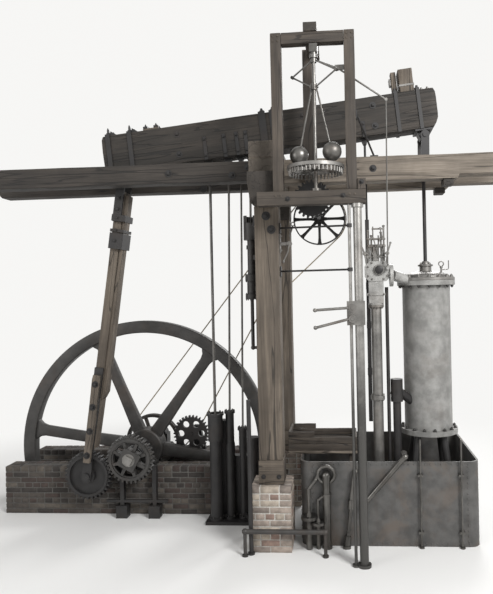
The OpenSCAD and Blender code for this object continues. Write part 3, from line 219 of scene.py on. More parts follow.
def oak(name, along, pale, dark, seed, lean=0.0):
    """Old oak: long grain and fine streaks along one axis, drying checks, stains, dark sawn ends."""
    p = Paint(name)
    upright = p.add("ShaderNodeMapping", {}, {"Vector": p.place(), "Rotation": (0, lean, 0)})

    def stretched(lengthwise, crosswise, shift):
        scale = [crosswise] * 3
        scale[AXES[along]] = lengthwise
        values = {"Vector": upright, "Scale": scale, "Location": (seed + shift,) * 3}
        return p.add("ShaderNodeMapping", {}, values)

    grain = p.noise(stretched(0.9, 11, 0.0), 1.0, 5.0, 0.6, 0.6)
    streaks = p.noise(stretched(2.2, 75, 3.1), 1.0, 3.0, 0.6)
    stain = p.noise(p.place((1, 1, 1), (seed, 0, seed)), 1.7, 4.0, 0.6)
    split = abs(p.noise(stretched(0.55, 9, 7.7), 1.0, 2.0, 0.4, 0.2) - 0.5)
    checks = 1 - p.ease(split, 0.004, 0.016)
    wood = p.mix(p.ease(grain, 0.3, 0.7), dark, pale)
    wood = p.mix(p.ease(streaks, 0.35, 0.75) * 0.45, wood, shade(dark, 0.55))
    wood = p.mix(p.ease(stain, 0.45, 0.7) * 0.5, wood, shade(dark, 0.6))
    wood = p.mix(checks * 0.8, wood, shade(dark, 0.22))
    facing = p.add("ShaderNodeNewGeometry", {}, {}, "Normal")
    axis = [0.0, 0.0, 0.0]
    axis[AXES[along]] = 1.0
    sawn = abs(p.add("ShaderNodeVectorMath", {"operation": "DOT_PRODUCT"}, {0: facing, 1: axis}, "Value"))
    rings = p.noise(stretched(0.4, 38, 5.0), 1.0, 3.0, 0.5, 1.5)
    wood = p.mix(p.ease(sawn, 0.85, 0.95) * 0.75, wood, shade(dark, 0.5))
    height = grain * 0.5 + streaks * 0.35 - checks * 1.2 + rings * 0.25
    return p.finish(Base_Color=wood, Roughness=0.62 + 0.25 * streaks, Normal=p.bump(height, 0.7, 0.004))


def iron(name, base, rust, metallic, roughness, grain=0.0015, worn=0.35, painted_shade_heights=None):
    """Cast or wrought iron: mottled skin, faint rust and dust in patches, a fine sand-cast bump.

    Where the last argument names two heights, the iron below the first is painted dark, as painted shade on its
    lower part, and keeps its own colour above the second.
    """
    p = Paint(name, roughness, metallic)
    here = p.place()
    skin = p.noise(here, 6.0, 6.0, 0.6)
    fine = p.noise(here, 90.0, 3.0, 0.6)
    patches = p.ease(p.noise(here, 2.3, 5.0, 0.65, 0.4), 0.48, 0.72)
    runs = p.ease(p.noise(p.place((9, 9, 1.1), (2.3, 0, 0)), 1.0, 4.0, 0.6), 0.5, 0.8)
    colour = p.mix(p.ease(skin, 0.3, 0.7), shade(base, 0.72), shade(base, 1.25))
    colour = p.mix(patches * worn, colour, rust)
    colour = p.mix(runs * worn * 0.6, colour, shade(rust, 0.6))
    # painted shade: the iron darkened towards the bottom, below the given heights
    if painted_shade_heights:
        height = p.add("ShaderNodeSeparateXYZ", {}, {"Vector": here}, "Z")
        colour = p.mix(p.ease(height + 0.5 * patches, *painted_shade_heights), shade(base, 0.30), colour)
    return p.finish(
        Base_Color=colour,
        Roughness=roughness - 0.1 + 0.22 * skin + 0.12 * patches,
        Normal=p.bump(fine * 0.6 + skin * 0.6, 0.45, grain),
    )


def burnt_clay(name, tone, seed):
    """A hand-made brick: sanded skin, pits and sooty patches."""
    p = Paint(name, 0.9)
    here = p.place((1, 1, 1), (seed, seed, 0))
    cloud = p.noise(here, 14.0, 5.0, 0.6)
    pits = p.ease(p.noise(here, 150.0, 3.0, 0.7), 0.55, 0.75)
    soot = p.ease(p.noise(here, 3.0, 4.0, 0.6), 0.5, 0.75)
    colour = p.mix(p.ease(cloud, 0.3, 0.7), shade(tone, 0.75), shade(tone, 1.2))
    colour = p.mix(soot * 0.5, colour, shade(tone, 0.4))
    colour = p.mix(pits * 0.35, colour, (0.12, 0.1, 0.09))
    return p.finish(Base_Color=colour, Roughness=0.85 + 0.1 * cloud, Normal=p.bump(cloud - pits, 0.8, 0.003))


def lime_mortar(name, share=1.0):
    """Lumpy lime mortar with damp patches; share darkens it."""
    p = Paint(name, 0.95)
    here = p.place()
    lumps = p.noise(here, 55.0, 5.0, 0.7)
    damp = p.noise(here, 2.0, 3.0)
    thin, thick, wet = shade((0.36, 0.34, 0.31), share), shade((0.55, 0.53, 0.49), share), (0.27, 0.25, 0.23)
    colour = p.mix(p.ease(lumps, 0.35, 0.7), thin, thick)
    colour = p.mix(p.ease(damp, 0.45, 0.7) * 0.5, colour, shade(wet, share))
    return p.finish(Base_Color=colour, Normal=p.bump(lumps, 0.9, 0.004))


def hemp(name):
    p = Paint(name, 0.9)
    fibres = p.noise(p.place((60, 60, 60)), 4.0, 4.0, 0.6)
    colour = p.mix(p.ease(fibres, 0.3, 0.7), (0.20, 0.16, 0.11), (0.50, 0.43, 0.32))
    return p.finish(Base_Color=colour, Normal=p.bump(fibres, 0.6, 0.001))


ROD_GRAIN_LEAN = math.radians(9.6)
PALE_OAK = (0.150, 0.122, 0.094), (0.074, 0.059, 0.045)
DARK_OAK = (0.078, 0.062, 0.048), (0.036, 0.029, 0.023)
PAINTED_LIGHT_OAK = (0.225, 0.190, 0.153), (0.105, 0.086, 0.067)
DUST, DARK_RUST = (0.15, 0.125, 0.105), (0.11, 0.085, 0.068)

pale_oak = {a: oak(f"pale_oak_{a}", a, *PALE_OAK, 1.0 + AXES[a]) for a in AXES}
dark_oak = {a: oak(f"dark_oak_{a}", a, *DARK_OAK, 5.0 + AXES[a]) for a in AXES}
# A lighter copy of the oak: painted light, for the cross timbers that lie in shade below the governor's frame,
# the right spring timbers towards the light and the trough's ledge.
painted_light_oak = {a: oak(f"painted_light_oak_{a}", a, *PAINTED_LIGHT_OAK, 15.0) for a in "xy"}
# The beam's oak is made very dark, partly as painted shade and partly as the old timber's own dark tone.
beam_oak = oak("beam_oak", "x", (0.043, 0.035, 0.028), (0.019, 0.016, 0.013), 9.0, BEAM_TILT)
# A darker copy of the oak for the left spring timbers: painted shade, for the side away from the light.
painted_shade_oak = oak("painted_shade_oak_x", "x", (0.046, 0.038, 0.031), (0.022, 0.018, 0.015), 17.0)
rod_oak = oak("rod_oak", "z", *PALE_OAK, 12.0, -ROD_GRAIN_LEAN)
cast_iron = iron("oiled_cast_iron", (0.042, 0.040, 0.038), (0.085, 0.061, 0.046), 0.3, 0.46)
black_iron = iron("blackened_iron", (0.021, 0.020, 0.020), (0.050, 0.038, 0.031), 0.25, 0.5)
bright_iron = iron("worn_bare_iron", (0.20, 0.193, 0.182), (0.13, 0.100, 0.080), 0.7, 0.42, 0.0006, 0.45)
governor_iron = iron("governor_iron", (0.125, 0.120, 0.112), (0.10, 0.076, 0.060), 0.75, 0.34, 0.0004)
pipe_iron = iron("pipe_iron", (0.140, 0.135, 0.127), DARK_RUST, 0.6, 0.42, 0.0006, 0.45)
cock_iron = iron("cock_iron", (0.125, 0.120, 0.112), (0.06, 0.047, 0.038), 0.85, 0.3, 0.0004, 0.4)
chest_paint = iron("chest_grey_paint", (0.30, 0.296, 0.284), DUST, 0.2, 0.42, 0.0008)
# The column is painted darker towards its foot: painted shade.
column_iron = iron(
    "column_iron", (0.27, 0.262, 0.248), (0.12, 0.095, 0.078), 0.7, 0.34, 0.0005, 0.4, painted_shade_heights=(1.6, 2.5)
)
cylinder_paint = iron("cylinder_grey_paint", (0.235, 0.232, 0.222), DUST, 0.15, 0.5, 0.001)
cistern_iron = iron("cistern_plate", (0.088, 0.086, 0.083), (0.14, 0.105, 0.080), 0.3, 0.5, 0.002, 0.5)
bricks = [
    burnt_clay("brick_grey_brown", (0.30, 0.25, 0.212), 1.0),
    burnt_clay("brick_buff", (0.36, 0.31, 0.255), 2.0),
    burnt_clay("brick_red_brown", (0.235, 0.165, 0.135), 3.0),
    burnt_clay("brick_dark", (0.19, 0.160, 0.138), 4.0),
]
# Darker copies of the bricks and of the mortar for the two walls: painted shade, for the shade the walls stand
# in.
painted_shade_bricks = [
    burnt_clay("painted_shade_brick_grey", (0.058, 0.049, 0.042), 5.0),
    burnt_clay("painted_shade_brick_buff", (0.088, 0.075, 0.062), 6.0),
    burnt_clay("painted_shade_brick_red", (0.050, 0.036, 0.031), 7.0),
    burnt_clay("painted_shade_brick_dark", (0.033, 0.028, 0.025), 8.0),
]
mortar = lime_mortar("lime_mortar")
painted_shade_mortar = lime_mortar("painted_shade_mortar", 0.22)
rope_fibre = hemp("hemp_rope")

# ---------------------------------------------------------------- mesh helpers


def unit(v):
    v = np.asarray(v, float)
    return v / np.linalg.norm(v)


def square_to(along):
    """A 3x3 turn whose columns are two directions square to `along`, and `along`."""
    w = unit(along)
    helper = np.array([0.0, 0, 1]) if abs(w[2]) < 0.9 else np.array([1.0, 0, 0])
    u = unit(np.cross(helper, w))
    return np.stack([u, np.cross(w, u), w], axis=1)


class Shape:
    """Gathers vertices and faces of one piece; each face carries a material number."""

    def __init__(self):
        self.verts, self.faces, self.paints, self.count = [], [], [], 0

    def add(self, verts, face_sets, paint=0):
        verts = np.asarray(verts, float).reshape(-1, 3)
        for faces in face_sets:
            self.faces.append(np.asarray(faces, int) + self.count)
            self.paints.append(np.broadcast_to(paint, len(faces)))
        self.verts.append(verts)
        self.count += len(verts)
        return self

    def copies(self, other, places):
        """Adds the other shape at each place."""
        verts = np.concatenate(other.verts)
        places = np.atleast_2d(np.asarray(places, float))
        shift = np.arange(len(places))[:, None, None] * len(verts)
        for faces, paints in zip(other.faces, other.paints):
            self.faces.append((faces[None] + shift).reshape(-1, faces.shape[1]) + self.count)
            self.paints.append(np.tile(paints, len(places)))
        self.verts.append((verts[None] + places[:, None]).reshape(-1, 3))
        self.count += len(verts) * len(places)
        return self

    def turned_by(self, turn):
        """Takes the points gathered so far from a frame of their own to the part's frame."""
        self.verts = [turn(np.concatenate(self.verts))]
        return self

    def make(self, name, slot, materials, smooth, *replaces):
        """Writes the arrays into a mesh in one go, rides it on the root and hides the nodes it stands for."""
        mesh = bpy.data.meshes.new(name)
        verts = np.concatenate(self.verts)
        sizes = np.concatenate([np.full(len(f), f.shape[1]) for f in self.faces])
        corners = np.concatenate([f.ravel() for f in self.faces])
        mesh.vertices.add(len(verts))
        mesh.vertices.foreach_set("co", verts.astype(np.float32).ravel())
        mesh.loops.add(len(corners))
        mesh.loops.foreach_set("vertex_index", corners.astype(np.int32))
        mesh.polygons.add(len(sizes))
        starts = np.concatenate([[0], np.cumsum(sizes)[:-1]])
        mesh.polygons.foreach_set("loop_start", starts.astype(np.int32))
        mesh.polygons.foreach_set("loop_total", sizes.astype(np.int32))
        mesh.polygons.foreach_set("material_index", np.concatenate(self.paints).astype(np.int32))
        mesh.update(calc_edges=True)
        for material in materials:
            mesh.materials.append(material)
        mesh.shade_smooth()
        mesh.set_sharp_from_angle(angle=math.radians(smooth))
        piece = bpy.data.objects.new(name, mesh)
        bpy.context.scene.collection.objects.link(piece)
        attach(piece, "root")
        if replaces:
            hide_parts(*replaces)


def ring_faces(rings, points):
    """Quads between closed rings of points, and a flat cap at each end."""
    i = np.arange(rings - 1)[:, None] * points
    j = np.arange(points)[None, :]
    k = (j + 1) % points
    quads = np.stack([i + j, i + k, i + k + points, i + j + points], axis=-1).reshape(-1, 4)
    first = np.arange(points)[::-1][None, :]
    last = (np.arange(points) + (rings - 1) * points)[None, :]
    return [quads, first, last]


def turned(shape, at, along, profile, sides=24, start=0.0):
    """A lathe form: each (radius, height) of the profile becomes a ring about `along` from `at`."""
    profile = np.asarray(profile, float)
    a = start + np.arange(sides) * TAU / sides
    radius = profile[:, :1]
    local = np.stack([radius * np.cos(a), radius * np.sin(a), profile[:, 1:] + 0 * a], axis=-1)
    verts = local.reshape(-1, 3) @ square_to(along).T + np.asarray(at, float)
    return shape.add(verts, ring_faces(len(profile), sides))


def carried(shape, path, outline, upright=UP, paint=0):
    """An outline of (across, up) points carried along a path of points, square to it."""
    path = np.asarray(path, float)
    ahead = np.gradient(path, axis=0)
    ahead /= np.linalg.norm(ahead, axis=1, keepdims=True)
    across = np.cross(ahead, np.asarray(upright, float))
    across /= np.linalg.norm(across, axis=1, keepdims=True)
    up = np.cross(across, ahead)
    outline = np.asarray(outline, float)
    if outline.ndim == 2:
        outline = np.broadcast_to(outline, (len(path),) + outline.shape)
    verts = path[:, None] + outline[..., 0:1] * across[:, None] + outline[..., 1:2] * up[:, None]
    return shape.add(verts, ring_faces(len(path), outline.shape[1]), paint)


def bar(shape, points, radius, sides=10):
    """A round bar through a few points of an upright plane."""
    a = np.arange(sides) * TAU / sides
    return carried(shape, points, radius * np.stack([np.cos(a), np.sin(a)], axis=1), BACK)


def circle(centre, radius, turns):
    """Points at the given turns round a centre, in an upright plane that faces the viewer."""
    return np.asarray(centre) + radius * np.stack([np.cos(turns), 0 * turns, np.sin(turns)], 1)


CORNERS = np.array([[x, y, z] for x in (-1, 1) for y in (-1, 1) for z in (-1, 1)], float)


def chamfered_template():
    """The 24 corner points and 26 faces of a box with cut edges, as signs and inset masks."""
    signs = np.repeat(CORNERS, 3, axis=0)
    full = np.tile(np.eye(3), (8, 1))
    index = {(tuple(c), a): i * 3 + a for i, c in enumerate(CORNERS) for a in range(3)}
    quads, triangles = [], []

    def facing(points, outward):
        p = (signs * (0.5 + 0.5 * full))[points]
        normal = np.cross(p[1] - p[0], p[2] - p[1])
        return points if normal @ outward > 0 else points[::-1]

    def corner_of(axes, s):
        corner = np.zeros(3)
        corner[axes] = s
        return tuple(corner)

    for a in range(3):
        b, c = (a + 1) % 3, (a + 2) % 3
        axes, out = [a, b, c], np.eye(3)
        for s in (-1, 1):
            ring = [index[corner_of(axes, (s, sb, sc)), a] for sb, sc in ((-1, -1), (1, -1), (1, 1), (-1, 1))]
            quads.append(facing(ring, out[a] * s))
        for sb in (-1, 1):
            for sc in (-1, 1):
                low, high = corner_of(axes, (-1, sb, sc)), corner_of(axes, (1, sb, sc))
                ring = [index[low, b], index[high, b], index[high, c], index[low, c]]
                quads.append(facing(ring, out[b] * sb + out[c] * sc))
    for i, corner in enumerate(CORNERS):
        triangles.append(facing([i * 3, i * 3 + 1, i * 3 + 2], corner))
    return signs, full, np.array(quads), np.array(triangles)


SIGNS, FULL, BOX_QUADS, BOX_TRIANGLES = chamfered_template()


def blocks(shape, low, high, cut, paint=0):
    """Boxes with cut edges from arrays of lowest and highest corners."""
    low, high = np.atleast_2d(low).astype(float), np.atleast_2d(high).astype(float)
    middle, half = (low + high) / 2, (high - low) / 2
    verts = middle[:, None, :] + SIGNS[None] * (half[:, None, :] - cut * (1 - FULL)[None])
    offset = np.arange(len(low))[:, None, None] * len(SIGNS)
    numbers = np.broadcast_to(paint, len(low))
    for template in (BOX_QUADS, BOX_TRIANGLES):
        shape.faces.append((template[None] + offset).reshape(-1, template.shape[1]) + shape.count)
        shape.paints.append(np.repeat(numbers, len(template)))
    shape.verts.append(verts.reshape(-1, 3))
    shape.count += verts.size // 3


def hoop(shape, left, right, near, far, low, high, thick, cut):
    """Four flat bars round a timber's section, between two heights."""
    out_left, out_right, out_near, out_far = left - thick, right + thick, near - thick, far + thick
    blocks(
        shape,
        [(out_left, out_near, low), (out_left, far, low), (out_left, near, low), (right, near, low)],
        [(out_right, near, high), (out_right, out_far, high), (left, far, high), (out_right, far, high)],
        cut,
    )


def box_of(node):
    low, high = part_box(node)
    return np.array(low), np.array(high)


# ---------------------------------------------------------------- brickwork

COURSE, JOINT, STRETCHER = 0.075, 0.010, 0.225
FACING = 0.105  # how deep a facing brick goes into its wall
CORE_INSET = 0.007
SMALLEST, CLOSER = 0.035, 0.03
END_BRICK, END_PITCH = 0.2, 0.11
WEAR = 0.0035
TONE_SHARES = [0.42, 0.2, 0.2, 0.18]
PIER_GAP = 0.7  # the two piers stand on either side of this depth


def brickwork(node, name, clays, joints):
    """Courses of bricks over a mortar core, each box of the node laid in alternate bond."""
    mesh = frame["nodes"][node].data
    co = np.empty(len(mesh.vertices) * 3, np.float32)
    mesh.vertices.foreach_get("co", co)
    co = co.reshape(-1, 3).astype(float)
    two = np.ptp(co[:, 1]) >= 1.0
    shape = Shape()
    for points in ([co[co[:, 1] < PIER_GAP], co[co[:, 1] >= PIER_GAP]] if two else [co]):
        low, high = points.min(0), points.max(0)
        courses = int(round((high[2] - low[2]) / COURSE))
        rise = (high[2] - low[2]) / courses
        blocks(shape, low + [CORE_INSET, CORE_INSET, 0], high - CORE_INSET, 0.002, len(bricks))
        lows, highs = [], []

        def lay(x0, x1, y0, y1):
            """Bricks of one row, given by arrays or single values of their ends."""
            lows.append(np.stack(np.broadcast_arrays(x0, y0, z0), 1))
            highs.append(np.stack(np.broadcast_arrays(x1, y1, z1), 1))

        for n in range(courses):
            z0 = low[2] + n * rise
            z1 = z0 + rise - (JOINT if n < courses - 1 else 0)
            pitch = STRETCHER / 2 if n % 3 == 2 else STRETCHER
            edges = np.arange(low[0] - (pitch / 2 if n % 2 else 0), high[0] + pitch, pitch)
            left = np.clip(edges[:-1], low[0], high[0])
            right = np.clip(edges[1:] - JOINT, low[0], high[0])
            right[right > high[0] - CLOSER] = high[0]
            keep = right - left > SMALLEST
            for y0, y1 in ((low[1], low[1] + FACING), (high[1] - FACING, high[1])):
                lay(left[keep], right[keep], y0, y1)
            inner0, inner1 = low[1] + FACING + JOINT, high[1] - FACING - JOINT
            count = max(1, int(round((inner1 - inner0) / END_PITCH)))
            wide = (inner1 - inner0 + JOINT) / count
            at = inner0 + np.arange(count) * wide
            for x0, x1 in ((low[0], low[0] + END_BRICK), (high[0] - END_BRICK, high[0])):
                lay(x0, x1, at, at + wide - JOINT)
        lows, highs = np.concatenate(lows), np.concatenate(highs)
        inset = RNG.uniform(0, WEAR, lows.shape)
        inset[:, 2] *= 0.6
        lows, highs = lows + inset, highs - RNG.uniform(0, WEAR, highs.shape)
        blocks(shape, lows, highs, 0.004, RNG.choice(len(bricks), len(lows), p=TONE_SHARES))
    shape.make(name, "brick", clays + [joints], 180, node)


brickwork("king_post_piers", "pier_brickwork", bricks, mortar)
# The walls take the darker bricks and mortar: painted shade.
brickwork("wheel_wall_front", "front_wall_brickwork", painted_shade_bricks, painted_shade_mortar)
brickwork("wheel_wall_rear", "rear_wall_brickwork", painted_shade_bricks, painted_shade_mortar)

# ---------------------------------------------------------------- timber

CORNER_STEPS = 3
OUTLINE_POINTS = 4 * (CORNER_STEPS + 1)
END_STEP = 0.004  # how close the second ring of a timber lies to its end
HEWN_WEAR, SAWN_WEAR = 0.004, 0.003


def worn_outline(half_wide, half_deep, radius, wander=0.0):
    """One outline a station: a rectangle of half sizes with rounded corners, drawn in by a share of itself."""
    half_wide, half_deep = np.broadcast_arrays(half_wide, half_deep)
    corners = []
    for sx, sz, start in ((1, 1, 0), (-1, 1, 90), (-1, -1, 180), (1, -1, 270)):
        a = np.radians(start + np.linspace(0, 90, CORNER_STEPS + 1))
        across = sx * (half_wide[:, None] - radius) + radius * np.cos(a)
        up = sz * (half_deep[:, None] - radius) + radius * np.sin(a)
        corners.append(np.stack([across, up], axis=-1))
    return np.concatenate(corners, axis=1) * (1 - np.asarray(wander)[..., None])


def waver(stations, share):
    """Smooth random shrinkage of each outline point, from slow sines along the timber, never outwards."""
    t = np.linspace(0, 1, stations)[:, None]
    total = np.zeros((stations, OUTLINE_POINTS))
    for cycles in (1.3, 2.9, 6.1, 11.7):
        phase = RNG.uniform(0, TAU, OUTLINE_POINTS)
        total += np.sin(TAU * cycles * t + np.convolve(phase, np.ones(3) / 3, "same")) / cycles
    return (total - total.min()) / np.ptp(total) * share


def end_inset(count, cut):
    """How far each ring is drawn in: the first and the last, which eases the edge of a sawn end."""
    inset = np.zeros(count)
    inset[[0, -1]] = cut
    return inset


def add_timber(shape, low, high, along, radius, rings, cut, share, paint=0):
    """A timber that fills a box: a worn rectangle carried along its grain, wandering a little."""
    axis = AXES[along]
    low, high = np.asarray(low, float), np.asarray(high, float)
    start, end = (low + high) / 2, (low + high) / 2
    start[axis], end[axis] = low[axis], high[axis]
    t = np.linspace(0, 1, rings)
    t = np.concatenate([[0, END_STEP], t[1:-1], [1 - END_STEP, 1]])
    inset = end_inset(len(t), cut)
    wide, deep = np.delete(high - low, axis) / 2
    outline = worn_outline(wide - inset, deep - inset, radius, waver(len(t), share))
    carried(shape, start + t[:, None] * (end - start), outline, BACK if along == "z" else UP, paint)


def timber_in_box(node, along, materials):
    """A hewn timber that fills its node's box."""
    low, high = box_of(node)
    shape = Shape()
    share = 2 * HEWN_WEAR / np.delete(high - low, AXES[along]).min()
    add_timber(shape, low, high, along, 0.010, 36, 0.006, share)
    shape.make(node + "_oak", "oak", [materials[along]], WOOD_EDGE, node)


def add_sawn(shape, parts, radius=0.006):
    """Adds sawn timbers, each given as its lowest and highest corners and its grain's axis."""
    for low, high, along in parts:
        share = 2 * SAWN_WEAR / np.delete(np.subtract(high, low), AXES[along]).max()
        add_timber(shape, low, high, along, radius, 20, 0.004, share, AXES[along])


def sawn_parts(name, node, parts, slot, materials, radius=0.006):
    """One piece of several sawn timbers that takes a node's place."""
    shape = Shape()
    add_sawn(shape, parts, radius)
    shape.make(name, slot, list(materials.values()), WOOD_EDGE, node)


def hewn_slab(low_edge, high_edge, y0, y1, radius):
    """A slab whose lower and upper edges are rows of (x, z) points, its sides from y0 to y1, corners worn."""
    middle, reach = (low_edge + high_edge) / 2, (high_edge - low_edge) / 2
    half, thick = np.linalg.norm(reach, axis=1), (y1 - y0) / 2
    outline = worn_outline(thick, half, radius, waver(len(half), 0.005 / thick))
    edge = middle[:, None] + outline[..., 1:] * (reach / half[:, None])[:, None]
    verts = np.stack([edge[..., 0], (y0 + y1) / 2 - outline[..., 0], edge[..., 1]], axis=-1)
    return Shape().add(verts, ring_faces(len(half), OUTLINE_POINTS))


def tapered(shape, x0, x1, y0, y1, z, radius, wear):
    """A timber standing along z whose sides follow rows of x, between two depths."""
    inset = end_inset(len(z), 0.004)
    half, thick = (x1 - x0) / 2 - inset, (y1 - y0) / 2
    outline = worn_outline(half, thick - inset, radius, waver(len(z), wear / max(half.max(), thick)))
    across, depth = (x0 + x1)[:, None] / 2 + outline[..., 0], (y0 + y1) / 2 - outline[..., 1]
    shape.add(np.stack([across, depth, z[:, None] + 0 * depth], axis=-1), ring_faces(len(z), OUTLINE_POINTS))


def on_beam(u, v):
    """The beam's own (along, up) pairs turned to its tilt about the gudgeon, as (x, z)."""
    c, t = math.cos(BEAM_TILT), math.sin(BEAM_TILT)
    return np.stack([u * c - v * t, GUDGEON_Z + u * t + v * c], axis=-1)


def great_beam():
    """The beam between its worn lower and upper edges: rounded left end, cut-back right end."""
    low = [(-2.208, 0.26), (-2.204, 0.10), (-2.180, 0.050), (-2.10, BEAM_LOW)]
    high = [(-2.210, 0.34), (-2.204, 0.50), (-2.186, 0.540), (-2.10, BEAM_TOP)]
    run = np.linspace(-2.0, 2.0, 60)
    low += [(u, BEAM_LOW) for u in run] + [(2.075, 0.050), (2.115, 0.098), (2.142, 0.160), (2.146, 0.21)]
    high += [(u, BEAM_TOP) for u in run] + [(2.095, BEAM_TOP), (2.124, 0.543), (2.143, 0.50), (2.147, 0.44)]
    edges = on_beam(*np.transpose(low)), on_beam(*np.transpose(high))
    slab = hewn_slab(*edges, BEAM_FRONT, BEAM_BACK, 0.012)
    slab.make("great_beam_oak", "oak_dark", [beam_oak], WOOD_EDGE, "great_beam")


def spring_timber(node, material, x, under):
    """A long hewn timber that runs to the engine house's wall, its underside given at each x."""
    low, high = box_of(node)
    inset = end_inset(len(x), 0.005)
    edges = np.stack([x, under + inset], 1), np.stack([x, high[2] - inset], 1)
    hewn_slab(*edges, low[1], high[1], 0.010).make(node + "_oak", "oak", [material], WOOD_EDGE, node)


def spring_timber_left(node):
    """Its far end is cut away underneath."""
    low, high = box_of(node)
    cut = 0.09
    x = np.concatenate(
        [[low[0], low[0] + END_STEP], np.linspace(low[0] + cut, high[0] - END_STEP, 44), [high[0]]]
    )
    # It takes the darker oak, painted shade for the side away from the light.
    spring_timber(node, painted_shade_oak, x, np.interp(x, [low[0], low[0] + cut], [low[2] + cut, low[2]]))


def spring_timber_right(node):
    """Its underside is cut back beyond a step, towards the far end."""
    low, high = box_of(node)
    step, rise = low[0] + 2.13, 0.045
    before = np.linspace(low[0] + 0.06, step - 0.01, 26)
    after = np.linspace(step + 0.01, high[0] - END_STEP, 10)
    x = np.concatenate([[low[0], low[0] + END_STEP], before, after, [high[0]]])
    # It takes the lighter oak, painted light for the side that faces the light.
    spring_timber(node, painted_light_oak["x"], x, np.where(x > step, low[2] + rise, low[2]))


great_beam()
spring_timber_left("spring_timber_front_left")
spring_timber_left("spring_timber_rear_left")
timber_in_box("king_post_front", "z", pale_oak)
timber_in_box("king_post_rear", "z", pale_oak)
# The cross timbers take the lighter oak, painted light against the shade they lie in.
timber_in_box("cross_timber_lower", "y", painted_light_oak)
timber_in_box("cross_timber_upper", "y", painted_light_oak)
spring_timber_right("spring_timber_front_right")
spring_timber_right("spring_timber_rear_right")

POST = 0.118
GOV_Y = -0.520
GOV_NEAR, GOV_FAR = GOV_Y - POST / 2, GOV_Y + POST / 2
SILL_NEAR, SILL_FAR = GOV_Y - 0.075, GOV_Y + 0.075
SILL_LOW, SILL_TOP, GOV_TOP = 3.933, 4.085, 5.812
GOV_LEFT, GOV_RIGHT = 0.140, 1.056
TIE_TOP = GOV_TOP + 0.095
POST_FOOT = 0.282
POST_HALF = 0.141


def governor_frame():
    """Two posts and a head before the beam, their sill with its stop, and the prop and tie behind."""
    post_right, sill_right = GOV_RIGHT - POST, GOV_RIGHT + 0.090
    parts = [
        ((GOV_LEFT, GOV_NEAR, SILL_TOP), (GOV_LEFT + POST, GOV_FAR, GOV_TOP), "z"),
        ((post_right, GOV_NEAR, SILL_TOP), (GOV_RIGHT, GOV_FAR, GOV_TOP), "z"),
        ((GOV_LEFT + POST, GOV_NEAR, GOV_TOP - 0.125), (post_right, GOV_FAR, GOV_TOP), "x"),
        ((-0.040, SILL_NEAR, SILL_LOW), (sill_right, SILL_FAR, SILL_TOP), "x"),
        ((GOV_RIGHT, SILL_NEAR, SILL_TOP), (sill_right, SILL_FAR, SILL_TOP + 0.115), "z"),
        ((0.440, 0.150, SILL_TOP), (0.580, 0.290, TIE_TOP), "z"),
        ((0.500, SILL_NEAR, GOV_TOP), (0.650, 0.290, TIE_TOP), "y"),
    ]
    sawn_parts("governor_frame_oak", "governor_frame", parts, "oak_dark", dark_oak)


def foot_blocks():
    low, high = box_of("post_foot_blocks")
    front = (low, (high[0], low[1] + POST_FOOT, high[2]), "x")
    rear = ((low[0], high[1] - POST_FOOT, low[2]), high, "x")
    sawn_parts("foot_blocks_oak", "post_foot_blocks", [front, rear], "oak", pale_oak)


def post_heads():
    """A block on each king post whose sides spread towards the beam's bearings."""
    low, high = box_of("post_heads")
    ends = [low[2], low[2] + END_STEP], [high[2] - END_STEP, high[2]]
    z = np.concatenate([ends[0], np.linspace(low[2] + 0.03, high[2] - 0.03, 18), ends[1]])
    left = np.interp(z, [low[2], low[2] + 0.09, high[2] - 0.12], [-POST_HALF, -0.149, low[0]])
    right = np.interp(z, [low[2], low[2] + 0.05], [POST_HALF, high[0]])
    shape = Shape()
    for y0, y1 in ((low[1], POST_HALF), (high[1] - POST_FOOT, high[1])):
        tapered(shape, left, right, y0, y1, z, 0.010, HEWN_WEAR)
    shape.make("post_heads_oak", "oak_dark", [dark_oak["y"]], WOOD_EDGE, "post_heads")


def trough():
    """The open wooden trough on the cistern's rim: floor, sides cut down past the middle, ends and legs."""
    low, high = box_of("hot_well")
    front, step, t, base = low[1] + 0.024, low[0] + 0.320, 0.026, high[2] - 0.264
    cut_top = base + 0.200
    parts = [((low[0], front, base), (high[0], high[1], base + t), "x")]
    for y in (front, high[1] - t):
        parts.append(((low[0], y, base + t), (high[0], y + t, base + 0.113), "x"))
        parts.append(((low[0], y, base + 0.1145), (high[0], y + t, cut_top), "x"))
        parts.append(((low[0], y, base + 0.2015), (step, y + t, high[2]), "x"))
    for x, top in ((low[0], high[2]), (high[0] - t, cut_top)):
        parts.append(((x, front + t, base + t), (x + t, high[1] - t, top), "y"))
    for y in (front + 0.04, high[1] - 0.11):
        parts.append(((high[0] - 0.10, y, low[2]), (high[0] - 0.03, y + 0.07, base + 0.001), "z"))
    sawn_parts("trough_boards", "hot_well", parts, "oak_dark", dark_oak, 0.004)
    ledge = Shape()
    add_sawn(ledge, [((low[0], low[1], base), (high[0], front + 0.001, base + 0.034), "x")], 0.004)
    ledge.make("trough_ledge", "oak_dark", [painted_light_oak["x"]], WOOD_EDGE)


def pump_board():
    """Six planks, one above the other, with an open joint between them."""
    low, high = box_of("pump_board")
    edges = np.linspace(low[2], high[2], 7)
    parts = [((low[0], low[1], a), (high[0], high[1], b - 0.002), "y") for a, b in zip(edges[:-1], edges[1:])]
    sawn_parts("pump_board_oak", "pump_board", parts, "oak", dark_oak)


governor_frame()
foot_blocks()
post_heads()
trough()
pump_board()

# ---------------------------------------------------------------- flywheel

WHEEL_R, WHEEL_Y = 1.800, 1.360
RIM_INNER = WHEEL_R - 0.172
RIM_W, SPOKE_W, SPOKE_T = 0.150, 0.150, 0.080
SPOKE_ANGLES = [-9, 54, 113, 171]


